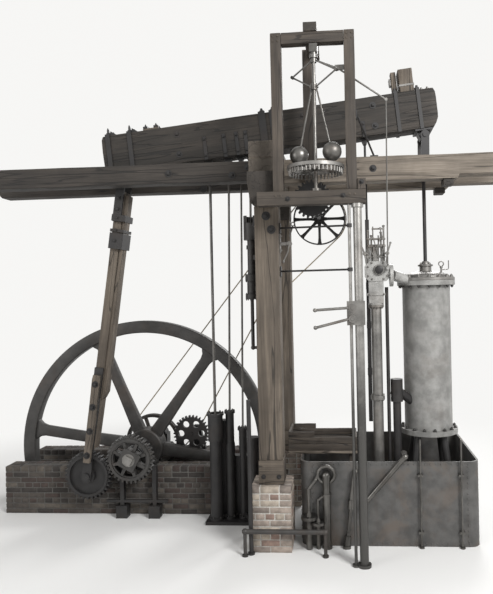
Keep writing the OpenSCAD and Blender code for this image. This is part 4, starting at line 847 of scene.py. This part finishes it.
def flywheel():
    """Cast rim with rounded edges, tapered spokes that flare into it, and a hub; all of it above the floor."""
    middle = np.array([SHAFT_X, WHEEL_Y, SHAFT_Z])
    shape = Shape()
    dip = math.asin(SHAFT_Z / WHEEL_R)
    a = np.linspace(-dip, math.pi + dip, 150)[:, None]
    section = worn_outline(np.array([RIM_W / 2]), (WHEEL_R - RIM_INNER) / 2, 0.016)[0]
    radius = (WHEEL_R + RIM_INNER) / 2 + section[:, 1]
    rings = middle + np.stack([radius * np.cos(a), section[:, 0] + 0 * a, radius * np.sin(a)], axis=-1)
    rings[..., 2] = np.maximum(rings[..., 2], 0.0)
    shape.add(rings, ring_faces(len(a), OUTLINE_POINTS))
    reach = np.array([0.20, 0.5, 0.9, *(RIM_INNER + np.array([-0.14, -0.07, -0.03, 0.02]))])
    half = np.array([0.095, 0.086, 0.074, *(SPOKE_W * np.array([0.5, 0.62, 0.85, 1.05]))])
    section = worn_outline(half, SPOKE_T / 2, 0.018)
    for angle in np.radians(SPOKE_ANGLES):
        out = np.array([math.cos(angle), 0, math.sin(angle)])
        carried(shape, middle + reach[:, None] * out, section, BACK)
    hub = [(0.0853, -0.13), (0.244, -0.13), (0.26, -0.114), (0.26, 0.114), (0.244, 0.13), (0.0853, 0.13)]
    turned(shape, middle, BACK, hub, 64)
    shape.make("flywheel_casting", "cast_iron", [cast_iron], CASTING_EDGE, "flywheel")


flywheel()

# ---------------------------------------------------------------- rope

ROPE_Y = PULLEY[1]
ROPE_R = 0.010
ROPE_LAY = 0.055
ROPE_SPACING = 0.014


def rope_path(wheels):
    """The taut loop round wheels given as (centre, radius, sense): straight runs and arcs between them."""
    points = []
    count = len(wheels)

    def heading(a, b):
        d = np.subtract(b[0], a[0])
        return math.atan2(d[1], d[0]) - math.asin((b[2] * b[1] - a[2] * a[1]) / math.hypot(*d))

    def touch(a, t):
        return np.array(a[0]) + a[2] * a[1] * np.stack([np.sin(t), -np.cos(t)], axis=-1)

    for i in range(count):
        a, b, c = wheels[i], wheels[(i + 1) % count], wheels[(i + 2) % count]
        t0, t1 = heading(a, b), heading(b, c)
        p, q = touch(a, t0), touch(b, t0)
        steps = max(2, int(math.dist(p, q) / ROPE_SPACING))
        points.append(p + np.linspace(0, 1, steps, endpoint=False)[:, None] * (q - p))
        sweep = (t1 - t0) % TAU if b[2] > 0 else -((t0 - t1) % TAU)
        steps = max(3, int(abs(sweep) * b[1] / ROPE_SPACING))
        points.append(touch(b, t0 + np.linspace(0, 1, steps, endpoint=False) * sweep))
    flat = np.concatenate([*points, points[0][:1]])
    return np.insert(flat, 1, ROPE_Y, axis=1)


def laid_rope(wheels):
    """Three strands wound round the loop, a whole number of turns so that they meet."""
    path = rope_path(wheels)
    run = np.concatenate([[0], np.cumsum(np.linalg.norm(np.diff(path, axis=0), axis=1))])
    turns = round(run[-1] / ROPE_LAY)
    ahead = np.gradient(path, axis=0)
    ahead /= np.linalg.norm(ahead, axis=1, keepdims=True)
    side = np.cross(ahead, BACK)
    shape = Shape()
    for strand in range(3):
        a = TAU * (turns * run / run[-1] + strand / 3)[:, None]
        offset = ROPE_R * 0.5 * (np.cos(a) * side + np.sin(a) * np.array(BACK))
        bar(shape, path + offset, ROPE_R * 0.52, 6)
    shape.make("governor_rope_laid", "rope", [rope_fibre], ROUND_EDGE, "governor_rope")


drum = ((SHAFT_X, SHAFT_Z), 0.391, 1)
counter = ((SHAFT_X + 0.613, SHAFT_Z + 0.143), 0.053, 1)
guide = ((-0.295, 2.645), 0.071, -1)
pulley = ((PULLEY[0], PULLEY[2]), 0.388, 1)
laid_rope([drum, counter, guide, pulley])

# ---------------------------------------------------------------- bolts and nuts


def nut(along, flats, tall, sides=6, washer=1.35):
    """A washer, a nut with eased corners and the bolt's end, standing on the origin along a direction."""
    shape, foot = Shape(), (0, 0, 0)
    r = flats / 2 / math.cos(math.pi / sides)
    thin = tall * 0.18
    turned(shape, foot, along, [(r * washer, 0), (r * washer, thin)], 12)
    turned(shape, foot, along, [(r, thin), (r, tall * 0.86), (r * 0.86, tall)], sides, math.pi / sides)
    turned(shape, foot, along, [(r * 0.5, tall), (r * 0.5, tall * 1.3), (r * 0.36, tall * 1.42)], 8)
    return shape


def ringed(shape, centre, radius, count, side, flats, tall, start=0.0):
    """Nuts evenly round a level flange, all facing up or down."""
    a = start + np.arange(count) * TAU / count
    ring = radius * np.stack([np.cos(a), np.sin(a), 0 * a], axis=1)
    shape.copies(nut(side, flats, tall), ring + np.asarray(centre, float))


timber_bolts, cast_nuts, pipe_nuts = Shape(), Shape(), Shape()
square_nut, square_nut_behind = nut(FRONT, 0.042, 0.026, 4, 1.5), nut(BACK, 0.042, 0.026, 4, 1.5)
small_square = nut(FRONT, 0.028, 0.018, 4, 1.4)

# ---------------------------------------------------------------- cylinder cover

COVER_Z = 3.100
GLAND = [
    (0.075, 0.124), (0.075, 0.180), (0.096, 0.184), (0.096, 0.202), (0.090, 0.206),
    (0.056, 0.206), (0.050, 0.226), (0.038, 0.248), (0.024, 0.252),
]
COCK = [
    (0.026, 0.070), (0.026, 0.10), (0.012, 0.105), (0.012, 0.15), (0.019, 0.155), (0.019, 0.175), (0.010, 0.18),
]


def cylinder_cover():
    """A turned cover: flat ring, a low dome, the stuffing box and its gland, and a cock with a ring on top."""
    at = np.array([CYLINDER_X, BEAM_Y, COVER_Z])
    a = np.linspace(0, math.pi / 2, 11)[:-1]
    dome = [(0.075 + 0.217 * math.cos(t) ** 1.3, 0.044 + 0.078 * math.sin(t)) for t in a]
    rim = [(0.024, 0.0), (0.358, 0.0), (0.3635, 0.004), (0.3635, 0.034), (0.358, 0.040), (0.300, 0.040)]
    shape = Shape()
    turned(shape, at, UP, rim + dome + GLAND, 64)
    cock = at + np.array([0.19, -0.06, 0.0])
    turned(shape, cock, UP, COCK, 16)
    bar(shape, circle(cock + [0, 0, 0.208], 0.030, np.linspace(0, TAU, 33)), 0.0075, 8)
    lever = [[0.0, 0, 0.135], [0.07, 0, 0.135], [0.088, 0, 0.142], [0.093, 0, 0.16], [0.093, 0, 0.25]]
    bar(shape, cock + lever, 0.0065, 8)
    ringed(shape, at + [0, 0, 0.040], 0.329, 16, UP, 0.034, 0.026)
    ringed(shape, at + [0, 0, 0.206], 0.078, 4, UP, 0.020, 0.018, 0.6)
    shape.make("cylinder_cover_turned", "bright_iron", [bright_iron], COVER_EDGE, "cylinder_cover")


cylinder_cover()
ringed(cast_nuts, (CYLINDER_X, BEAM_Y, 1.230), 0.332, 16, UP, 0.032, 0.024, 0.1)
ringed(cast_nuts, (CYLINDER_X, BEAM_Y, 3.040), 0.332, 16, DOWN, 0.032, 0.024)

# ---------------------------------------------------------------- irons of the beam

PUMP_U = (-0.850, -0.595, -0.430, -0.310, 1.200)
STRAP_T = 0.012
NUT_SHANK = [(0.015, 0), (0.015, 0.020), (0.011, 0.030), (0.003, 0.048)]
BLUNT_SHANK = [(0.013, 0), (0.013, 0.014), (0.003, 0.034)]
WEDGE = [(0.030, 0.0), (0.115, 0.0), (0.040, 0.055), (0.030, 0.055)]
WEDGE_FACES = [[[0, 1, 2, 3]], [[7, 6, 5, 4]], [[0, 4, 5, 1], [1, 5, 6, 2], [2, 6, 7, 3], [3, 7, 4, 0]]]


def along_beam(points):
    """Points of the beam's own frame (along, across, up) set to its tilt."""
    u, across, v = np.transpose(points)
    x, z = on_beam(u, v).T
    return np.stack([x, across, z], axis=1)


def beam_irons():
    """Bolt ends and braces on the beam's top, plates of the pump rods' hangers, bolts through the cheeks."""
    shape = Shape()
    for u in (-2.12, -1.83):
        for y in (BEAM_FRONT + 0.05, BEAM_BACK - 0.05):
            turned(shape, (u, y, BEAM_TOP + 0.060), UP, NUT_SHANK, 10)
            verts = [(u + a, y + d, BEAM_TOP + 0.002 + b) for d in (-0.010, 0.010) for a, b in WEDGE]
            shape.add(verts, WEDGE_FACES)
    for u in (-1.62, -1.48):
        for y in (BEAM_FRONT + 0.08, BEAM_BACK - 0.08):
            low, high = (u - 0.03, y - 0.03, BEAM_TOP + 0.028), (u + 0.03, y + 0.03, BEAM_TOP + 0.060)
            blocks(shape, low, high, 0.004)
            turned(shape, (u, y, BEAM_TOP + 0.060), UP, BLUNT_SHANK, 10)
    for y, out, side in ((BEAM_FRONT, -0.010, FRONT), (BEAM_BACK, 0.010, BACK)):
        for u in PUMP_U:
            high = BEAM_LOW + (0.30 if u < 0 else 0.20)
            y0, y1 = sorted((y, y + out))
            blocks(shape, (u - 0.024, y0, BEAM_LOW - 0.004), (u + 0.024, y1, high), 0.003)
            ends = [(u, y + out, v) for v in (BEAM_LOW + 0.05, high - 0.04)]
            shape.copies(nut(side, 0.026, 0.014, 4, 1.2), ends)
        ends = [(u, y, BEAM_LOW + v) for u in (-1.20, 0.45, 1.35) for v in (0.12, 0.38)]
        shape.copies(nut(side, 0.036, 0.018, 4, 1.7), ends)
    shape.turned_by(along_beam).make("beam_bolts", "black_iron", [black_iron], IRON_EDGE)


beam_irons()

# ---------------------------------------------------------------- connecting rod

PLANET = np.mean(box_of("planet_wheel"), axis=0)
ROD_TOP = on_beam(-2.011, -0.040)
ROD_LEN = math.hypot(ROD_TOP[0] - PLANET[0], ROD_TOP[1] - PLANET[2])
ROD_DIR = np.array([ROD_TOP[0] - PLANET[0], 0, ROD_TOP[1] - PLANET[2]]) / ROD_LEN
ROD_SIDE = np.array([ROD_DIR[2], 0, -ROD_DIR[0]])
ROD_HALF, ROD_FOOT_HALF = 0.058, 0.046
STIFF_Z, STIFF_OUT = 1.030, 0.050
CLEAT_FRONT, CLEAT_BACK = 0.5457, 0.6037
STRAP_OUT = 0.1403


def along_rod(points):
    """Points of the rod's own frame (across, depth, up from the planet's centre) set to its lean."""
    return PLANET * [1, 0, 1] + np.asarray(points, float) @ np.stack([ROD_SIDE, BACK, ROD_DIR])


def rod_heights(low, high, count):
    """Heights with a close pair at each end, so that the ends keep a crisp edge."""
    z = np.round(np.linspace(low, high, count), 5)
    return np.concatenate([[z[0], z[0] + END_STEP], z[1:-1], [z[-1] - END_STEP, z[-1]]])


def connecting_rod():
    """The rod's main timber, the stiffening piece down its right side and the long cleat on its front."""
    shape = Shape()
    z = rod_heights(0.364, ROD_LEN - 0.16, 40)
    half = np.interp(z, [0.364, STIFF_Z], [ROD_FOOT_HALF, ROD_HALF])
    tapered(shape, -half, half, BEAM_Y - 0.100, BEAM_Y + 0.100, z, 0.009, 0.003)
    z = rod_heights(STIFF_Z, ROD_LEN - 0.2, 30)
    left = np.full(len(z), ROD_HALF + 0.0005)
    right = ROD_HALF + np.interp(z, [STIFF_Z, STIFF_Z + 0.09], [0.012, STIFF_OUT])
    tapered(shape, left, right, BEAM_Y - 0.080, BEAM_Y + 0.080, z, 0.006, 0.002)
    z = rod_heights(0.200, 1.360, 20)
    half = np.interp(z, [0.2, 1.3, 1.36], [ROD_FOOT_HALF, ROD_HALF - 0.003, ROD_HALF - 0.012])
    tapered(shape, -half, half, CLEAT_FRONT, CLEAT_BACK, z, 0.008, 0.003)
    shape.turned_by(along_rod).make("connecting_rod_oak", "oak", [rod_oak], WOOD_EDGE, "connecting_rod")


def rod_hoops():
    """Iron hoops driven round the rod's top, with a bolt through each, and the bolts of cleat and straps."""
    shape = Shape()
    left, right = -ROD_HALF - 0.001, ROD_HALF + STIFF_OUT + 0.002
    near, far, thick = BEAM_Y - 0.1415, BEAM_Y + 0.1415, 0.006
    for low, high in ((0.555, 0.47), (0.70, 0.66), (0.92, 0.71)):
        hoop(shape, left, right, near, far, ROD_LEN - low, ROD_LEN - high, thick, 0.002)
        middle = ROD_LEN - (low + high) / 2
        shape.copies(nut(FRONT, 0.030, 0.018, 4, 1.4), [(0.01, near - thick, middle)])
        shape.copies(nut(BACK, 0.030, 0.018, 4, 1.4), [(0.01, far + thick, middle)])
    shape.copies(square_nut, [(0, CLEAT_FRONT, z) for z in (0.30, 0.62, 0.94, 1.24)])
    shape.copies(square_nut, [(0, BEAM_Y - STRAP_OUT, ROD_LEN - z) for z in (0.40, 0.25)])
    shape.copies(square_nut_behind, [(0, BEAM_Y + 0.100, z) for z in (0.62, 0.94, 1.24, 1.9, 2.6)])
    pin = [(0.050, 0), (0.050, 0.008), (0.044, 0.014)]
    turned(shape, (0, BEAM_Y - STRAP_OUT, ROD_LEN), FRONT, pin, 24)
    shape.turned_by(along_rod).make("rod_hoops", "black_iron", [black_iron], IRON_EDGE)


def catch_blocks():
    """The stop blocks on the beam near the cylinder's end, the low pad at its other end, and their irons."""
    left, right, near, far = 1.716, 1.896, BEAM_FRONT + 0.02, BEAM_BACK - 0.02
    top = BEAM_TOP + 0.290
    parts = [
        ((1.628, BEAM_FRONT + 0.09, BEAM_TOP + STRAP_T), (1.694, BEAM_BACK - 0.09, top), "z"),
        ((left, near, BEAM_TOP), (right, far, top), "z"),
        ((-1.650, BEAM_FRONT + 0.04, BEAM_TOP), (-1.450, BEAM_BACK - 0.04, BEAM_TOP + 0.030), "x"),
    ]
    oak_parts = Shape()
    add_sawn(oak_parts, parts, 0.009)
    oak_parts.turned_by(along_beam)
    oak_parts.make("catch_blocks_oak", "oak_dark", list(pale_oak.values()), WOOD_EDGE, "beam_catch_blocks")
    irons = Shape()
    hoop(irons, left, right, near, far, BEAM_TOP + 0.070, BEAM_TOP + 0.096, 0.004, 0.001)
    plate = (1.600, BEAM_Y - 0.045, BEAM_TOP + 0.125), (1.629, BEAM_Y + 0.045, BEAM_TOP + 0.215)
    blocks(irons, *plate, 0.005)
    bolt_end = [(0.024, 0), (0.024, 0.016), (0.012, 0.020), (0.011, 0.034), (0.004, 0.040)]
    for u in (1.985, 2.060):
        for y in (BEAM_FRONT + 0.06, BEAM_BACK - 0.06):
            turned(irons, (u, y, BEAM_TOP - 0.004), UP, bolt_end, 12)
    irons.turned_by(along_beam).make("catch_block_irons", "black_iron", [pipe_iron], IRON_EDGE)


connecting_rod()
rod_hoops()
catch_blocks()

# ---------------------------------------------------------------- bolts through the frame


def spring_timber_bolts():
    """Bolts of the spring timbers' outer faces, and the boss on the rear one."""
    for row, side in (("front", FRONT), ("rear", BACK)):
        for hand, step in (("left", -1), ("right", 1)):
            low, high = box_of(f"spring_timber_{row}_{hand}")
            near, y = low[0] if step > 0 else high[0], low[1] if row == "front" else high[1]
            z = (low[2] + high[2]) / 2
            ends = [(near + step * d, y, z + o) for d, o in ((0.10, 0.05), (0.30, -0.05), (1.1, 0))]
            timber_bolts.copies(square_nut if row == "front" else square_nut_behind, ends)
    boss = [(0.020, 0), (0.052, 0), (0.052, 0.010), (0.046, 0.014), (0.026, 0.014), (0.020, 0.010)]
    turned(timber_bolts, (-0.989, box_of("spring_timber_rear_left")[0][1], 4.411), FRONT, boss, 24)


def frame_bolts():
    """Bolts of the king posts, their feet, the governor's frame and the upper cross timber."""
    for y, side in ((-POST_HALF, FRONT), (1.621, BACK)):
        timber_bolts.copies(nut(side, 0.046, 0.028, 4, 1.6), [(0.0, y, 3.88), (0.06, y, 3.72)])
    timber_bolts.copies(nut(LEFT, 0.046, 0.028, 4, 1.6), [(-POST_HALF, y, 3.80) for y in (0.0, 1.48)])
    foot = box_of("post_foot_blocks")[0]
    timber_bolts.copies(small_square, [(x, foot[1], foot[2] + 0.09) for x in (-0.09, 0.09)])
    sill_ends = ((0.30, 4.00), (0.90, 4.02), (1.10, 4.16))
    timber_bolts.copies(small_square, [(x, SILL_NEAR, z) for x, z in sill_ends])
    top = box_of("cross_timber_upper")[1][2]
    ends = [(x, y, top) for x in (-0.11, 0.11) for y in (-0.12, 1.36)]
    timber_bolts.copies(nut(UP, 0.046, 0.030, 4, 1.6), ends)
    ends = [(x, y, top + 0.024) for x in (-0.115, 0.115) for y in (0.50, 0.98)]
    timber_bolts.copies(nut(UP, 0.034, 0.022, 4, 1.4), ends)
    timber_bolts.make("timber_bolts", "black_iron", [black_iron], IRON_EDGE)


def frame_pegs():
    pegs = Shape()
    heights = ((GOV_TOP - 0.035, GOV_NEAR), (GOV_TOP - 0.09, GOV_NEAR), (SILL_TOP - 0.05, SILL_NEAR))
    for x in (GOV_LEFT + 0.030, GOV_LEFT + 0.085, GOV_RIGHT - 0.030, GOV_RIGHT - 0.085):
        for z, y in heights:
            turned(pegs, (x, y + 0.004, z), FRONT, [(0.011, 0), (0.011, 0.008), (0.008, 0.010)], 10)
    pegs.make("frame_pegs", "oak", [pale_oak["y"]], IRON_EDGE)


def timber_cleats():
    """A cleat under the step of each right spring timber."""
    cleats = Shape()
    for row in ("front", "rear"):
        low, high = box_of(f"spring_timber_{row}_right")
        lowest, highest = (2.117, low[1] + 0.02, low[2] - 0.072), (2.247, high[1] - 0.02, low[2] + 0.003)
        blocks(cleats, lowest, highest, 0.008)
    cleats.make("timber_cleats", "oak_dark", [dark_oak["y"]], IRON_EDGE)


spring_timber_bolts()
frame_bolts()
frame_pegs()
timber_cleats()

# ---------------------------------------------------------------- flange bolts

PUMP_BED = 0.040
PUMPS = (  # x, y, top of the barrel, width of its neck, width of its foot
    (-0.830, 0.680, 1.425, 0.194, 0.204),
    (-0.650, 0.740, 1.440, 0.110, 0.170),
    (-0.480, 0.740, 1.220, 0.104, 0.134),
)


def casting_nuts():
    """Nuts of the pump barrels, the feed pump's flanges and the shaft's bearings."""
    for x, y, top, neck, foot in PUMPS:
        ringed(cast_nuts, (x, y, top), neck / 2 + 0.002, 8, UP, 0.018, 0.016, 0.3)
        ringed(cast_nuts, (x, y, PUMP_BED + 0.030), foot / 2 - 0.013, 6, UP, 0.016, 0.014, 0.2)
    for low, tall in ((3.143, 0.082), (2.905, 0.068)):
        for z, side in ((low + tall, UP), (low, DOWN)):
            ringed(cast_nuts, (-0.318, BEAM_Y, z), 0.074, 6, side, 0.014, 0.012, 0.4)
    low, high = box_of("shaft_bearings")
    ends = [(SHAFT_X + x, y, 0.685) for y in (low[1] + 0.085, high[1] - 0.085) for x in (-0.195, 0.195)]
    cast_nuts.copies(nut(UP, 0.052, 0.040, 4, 1.5), ends)
    cast_nuts.make("casting_nuts", "cast_iron", [cast_iron], IRON_EDGE)


def steam_pipe_nuts():
    for z, radius, side in ((0.048, 0.082, UP), (1.640, 0.076, DOWN), (1.690, 0.076, UP)):
        ringed(pipe_nuts, (PIPE_X, PIPE_Y, z), radius, 8, side, 0.016, 0.012, 0.2)
    top = box_of("steam_pipe")[1][2]
    ringed(pipe_nuts, (PIPE_X, PIPE_Y, top - 0.025), 0.080, 8, DOWN, 0.018, 0.014, 0.2)
    ringed(pipe_nuts, (0.635, -0.0783, 0.030), 0.050, 6, UP, 0.012, 0.010)
    pipe_nuts.make("pipe_nuts", "bright_iron", [bright_iron], IRON_EDGE)


casting_nuts()
steam_pipe_nuts()

# ---------------------------------------------------------------- cistern plating

RIVET_PITCH = 0.062
SNAP_HEAD = [(0.011, 0), (0.010, 0.004), (0.006, 0.0068), (0.0015, 0.0074)]


def cistern_rivets():
    """Snap-headed rivets along the rim and foot of the plating and up its seams."""
    low, high = box_of("cistern")
    up = np.arange(0.06, high[2] - 0.03, RIVET_PITCH)
    rivets = Shape()
    for run, across, sides in ((0, 1, (FRONT, BACK)), (1, 0, (LEFT, RIGHT))):
        along = np.arange(low[run] + 0.15, high[run] - 0.12, RIVET_PITCH)
        rows = [(a, b) for b in (0.035, high[2] - 0.030) for a in along]
        rows += [(a, b) for a in (low[run] + 0.14, high[run] - 0.14) for b in up]
        for face, side in zip((low, high), sides):
            places = np.full((len(rows), 3), face[across])
            places[:, [run, 2]] = rows
            rivets.copies(turned(Shape(), (0, 0, 0), side, SNAP_HEAD, 8), places)
    rivets.make("cistern_rivets", "cast_iron", [cistern_iron], ROUND_EDGE)


cistern_rivets()

# ---------------------------------------------------------------- small gear on the post and the chest


def post_gear():
    """The hooked link, bracket and hand lever on the front king post's right side."""
    shape = Shape()
    link_end, pivot = (0.262, -0.02, 3.655), (0.258, -0.02, 3.56)
    bar(shape, circle((0.303, -0.02, 3.790), 0.022, np.linspace(0.2, TAU - 0.6, 20)), 0.006, 8)
    bar(shape, [(0.300, -0.02, 3.768), (0.285, -0.02, 3.72), link_end], 0.010)
    blocks(shape, (0.1413, -0.045, 3.46), (0.1513, 0.045, 3.68), 0.002)
    blocks(shape, (0.150, -0.030, 3.54), (0.262, 0.0, 3.580), 0.004)
    boss = [(0.028, 0), (0.030, 0.004), (0.030, 0.056), (0.028, 0.06)]
    turned(shape, (0.258, -0.045, 3.560), BACK, boss, 20)
    bar(shape, [link_end, (0.272, -0.02, 3.60), pivot], 0.010)
    bar(shape, [(0.258, -0.052, 3.560), (0.240, -0.056, 3.46), (0.190, -0.060, 3.36)], 0.009)
    knob = [(0.004, -0.02), (0.014, -0.012), (0.016, 0), (0.012, 0.014)]
    turned(shape, (0.187, -0.060, 3.350), (0.4, 0, 0.9), knob, 14)
    shape.copies(nut(RIGHT, 0.022, 0.012, 4, 1.3), [(0.1513, 0.0, 3.485), (0.1513, 0.0, 3.655)])
    shape.make("post_lever_gear", "bright_iron", [bright_iron], CASTING_EDGE)


CHEST_LEFT, CHEST_RIGHT, CHEST_Y = 1.192, 1.388, 0.385
CHEST_LINKS = (  # upper and lower end of each, as (x, z)
    ((1.198, 3.620), (1.184, 3.400)), ((1.205, 3.535), (1.262, 3.400)), ((1.262, 3.620), (1.318, 3.400)),
    ((1.338, 3.620), (1.296, 3.500)), ((1.392, 3.535), (1.330, 3.400)), ((1.345, 3.748), (1.372, 3.620)),
)
LINK_EYE = [(0.012, 0), (0.015, 0.003), (0.015, 0.022), (0.009, 0.024), (0.009, 0.045)]
GUIDE_CAP = [(0.016, -0.01), (0.018, -0.004), (0.018, 0.008), (0.008, 0.014)]


def chest_guides(shape):
    """The upright guides with their caps, the cross bars between them and the block they hold."""
    x0, x1, y = CHEST_LEFT, CHEST_RIGHT, CHEST_Y
    for x, top in ((x0, 3.72), (1.235, 3.66), (x1 - 0.035, 3.70), (x1, 3.78)):
        bar(shape, [(x, y, 3.33), (x, y, top - 0.1), (x, y, top)], 0.011)
        turned(shape, (x, y, top), UP, GUIDE_CAP, 12)
    for z, t in ((3.62, 0.012), (3.535, 0.014), (3.40, 0.010)):
        blocks(shape, (x0 - 0.02, y - 0.014, z - t), (x1 + 0.02, y + 0.014, z + t), 0.003)
    blocks(shape, (x0 + 0.055, y - 0.028, 3.345), (x1 - 0.06, y + 0.028, 3.53), 0.006)
    blocks(shape, (1.243, y - 0.011, 3.736), (x1 + 0.012, y + 0.011, 3.756), 0.003)
    bar(shape, [(1.256, y, 3.62), (1.256, y, 3.70), (1.256, y, 3.775)], 0.008)
    bar(shape, [(1.322, y, 3.535), (1.322, y, 3.60), (1.322, y, 3.665)], 0.009)


def chest_levers(shape):
    """A small lever at each side of the guides, and the links between the cross bars."""
    for x, lean, guide_x in ((1.150, -0.05, CHEST_LEFT), (1.425, 0.04, CHEST_RIGHT)):
        bar(shape, [(x + lean, 0.33, 3.56), (x, 0.33, 3.44), (x - lean * 0.4, 0.34, 3.30)], 0.010)
        turned(shape, (x, 0.318, 3.44), BACK, [(0.020, 0), (0.024, 0.004), (0.024, 0.026), (0.020, 0.03)], 16)
        blocks(shape, (min(x, guide_x), 0.33, 3.43), (max(x, guide_x), CHEST_Y, 3.45), 0.003)
        knob = [(0.004, -0.012), (0.014, -0.006), (0.014, 0.008), (0.006, 0.014)]
        turned(shape, (x + lean, 0.33, 3.565), UP, knob, 12)
    for ends in CHEST_LINKS:
        (ax, az), (bx, bz) = ends
        bar(shape, [(ax, 0.350, az), ((ax + bx) / 2, 0.350, (az + bz) / 2), (bx, 0.350, bz)], 0.007)
        for x, z in ends:
            turned(shape, (x, 0.338, z), BACK, LINK_EYE, 12)


def chest_gear():
    """The small gear on the upper valve chest, the ring and plug on its front and its covers' nuts."""
    plug = [(0.030, -0.010), (0.052, 0), (0.052, 0.008), (0.046, 0.013), (0.016, 0.016)]
    plug = turned(Shape(), (1.318, 0.300, 3.240), FRONT, plug, 28)
    plug.make("chest_plug", "black_iron", [black_iron], CASTING_EDGE)
    shape = Shape()
    chest_guides(shape)
    chest_levers(shape)
    ring = [(0.048, 0), (0.066, 0), (0.066, 0.022), (0.062, 0.026), (0.048, 0.026)]
    turned(shape, (1.318, 0.330, 3.240), FRONT, ring, 28)
    x, z = 1.302, 3.225
    places = [(x + dx, 0.330, z + dz) for dx in (-0.118, 0.118) for dz in (-0.06, 0.05)]
    places += [(x + dx, 0.330, z + dz) for dx in (-0.07, 0.07) for dz in (-0.10, 0.10)]
    shape.copies(nut(FRONT, 0.020, 0.014, 6, 1.3), places)
    shape.copies(nut(FRONT, 0.016, 0.010, 6, 1.2), [(x - 0.018 + dx, 0.326, 2.939) for dx in (-0.09, 0.09)])
    shape.make("valve_chest_gear", "bright_iron", [bright_iron], CASTING_EDGE)


def pulley_arms():
    """Flat arms, wider at the hub and at the rim, laid over the pulley's round ones."""
    shape = Shape()
    r = np.array([0.055, 0.075, 0.12, 0.20, 0.28, 0.335, 0.3605])[:, None]
    half = np.array([0.034, 0.026, 0.019, 0.0175, 0.019, 0.024, 0.034])[:, None]
    for turn in np.arange(8) * TAU / 8:
        c, s = math.cos(turn), math.sin(turn)
        out, side = np.array([c, 0, s]), np.array([-s, 0, c])
        corners = [(-1, -0.017), (1, -0.017), (1, 0.017), (-1, 0.017)]
        rings = np.stack([PULLEY + r * out + a * half * side + [0, b, 0] for a, b in corners], axis=1)
        shape.add(rings, ring_faces(len(r), 4))
    shape.make("pulley_arms", "black_iron", [black_iron], IRON_EDGE)


post_gear()
chest_gear()
pulley_arms()

# ---------------------------------------------------------------- finishes of the frame's own solids

SLOT_FINISH = {
    "oak": pale_oak["z"],
    "oak_dark": dark_oak["x"],
    "cast_iron": cast_iron,
    "black_iron": black_iron,
    "bright_iron": bright_iron,
    "brick": bricks[0],
    "rope": rope_fibre,
}
NODE_FINISH = {
    "steam_cylinder": cylinder_paint,
    "crown_wheel": bright_iron,
    "injection_pipes": cock_iron,
    "floor_pipe": cast_iron,
    "governor_arms": governor_iron,
    "governor_spindle": governor_iron,
    "piston_rod": black_iron,
    "stay_rods": black_iron,
    "handle_bracket": bright_iron,
    "iron_column": column_iron,
    "upper_valve_chest": chest_paint,
    "steam_pipe": bright_iron,
    "parallel_motion": black_iron,
    "pump_rods": pipe_iron,
    "cistern": cistern_iron,
}

for row in frame["record"]["subparts"]:
    mesh = frame["nodes"][row["node"]].data
    mesh.materials.clear()
    mesh.materials.append(NODE_FINISH.get(row["node"], SLOT_FINISH[row["material_slot"]]))

# ---------------------------------------------------------------- floor and light

FLOOR_HALF, FLOOR_Z = 30.0, -0.001
BACKDROP = (0.93, 0.925, 0.91)
SHADOW_NEAR, SHADOW_FAR = 3.6, 8.0  # the floor turns into backdrop between these distances
FILL = 0.45


def seen_directly(nodes):
    """1 for what the camera sees, in metal and through glass too; 0 for light that falls on the object."""
    seen = 0.0
    for ray in ("Is Camera Ray", "Is Glossy Ray", "Is Transmission Ray"):
        seen = nodes.add("ShaderNodeLightPath", {}, {}, ray) | seen
    return seen


def add_floor():
    """A wide pale floor that keeps the object's shadow."""
    mesh = bpy.data.meshes.new("studio_floor")
    corners = ((-1, -1), (1, -1), (1, 1), (-1, 1))
    mesh.from_pydata([(x * FLOOR_HALF, y * FLOOR_HALF, FLOOR_Z) for x, y in corners], [], [(0, 1, 2, 3)])
    p = Paint("studio_floor", 0.9)
    p.finish(Base_Color=(0.80, 0.795, 0.78))
    far = p.add("ShaderNodeVectorMath", {"operation": "LENGTH"}, {0: p.place(shift=(0.5, -0.6, 0))}, "Value")
    share = p.ease(far, SHADOW_NEAR, SHADOW_FAR) * seen_directly(p)
    glow = p.add("ShaderNodeEmission", {}, {"Color": BACKDROP})
    cover = p.add("ShaderNodeMixShader", {}, {0: share, 1: Value(p, p.shader.outputs[0]), 2: glow})
    p.put(p.tree.nodes["Material Output"].inputs["Surface"], cover)
    mesh.materials.append(p.material)
    floor = bpy.data.objects.new("studio_floor", mesh)
    bpy.context.scene.collection.objects.link(floor)


def add_world():
    """A pale background for the eye and for reflections, and a soft even fill."""
    world = bpy.data.worlds.new("studio")
    bpy.context.scene.world = world
    world.use_nodes = True
    world.node_tree.nodes.clear()
    nodes = Nodes(world.node_tree)
    fill = nodes.add("ShaderNodeBackground", {}, {"Color": (1, 1, 1), "Strength": FILL})
    seen = nodes.add("ShaderNodeBackground", {}, {"Color": BACKDROP})
    both = nodes.add("ShaderNodeMixShader", {}, {0: seen_directly(nodes), 1: fill, 2: seen})
    nodes.add("ShaderNodeOutputWorld", {}, {"Surface": both})


def add_lamp(name, at, size, power):
    """A round lamp that faces the middle of the object."""
    data = bpy.data.lights.new(name, "AREA")
    data.shape, data.size, data.energy = "DISK", size, power
    lamp = bpy.data.objects.new(name, data)
    turn = square_to(np.array(at) - np.mean(cad_box, axis=0))
    lamp.matrix_world = Matrix.Translation(at) @ Matrix(turn.tolist()).to_4x4()
    bpy.context.scene.collection.objects.link(lamp)


add_floor()
add_world()
add_lamp("key", (6.5, -7.5, 8.2), 4.0, 1330)
add_lamp("fill", (-8.5, -7.0, 5.0), 5.0, 260)
add_lamp("back", (3.0, 9.0, 9.0), 5.0, 700)
bpy.context.scene.view_settings.view_transform = "Standard"
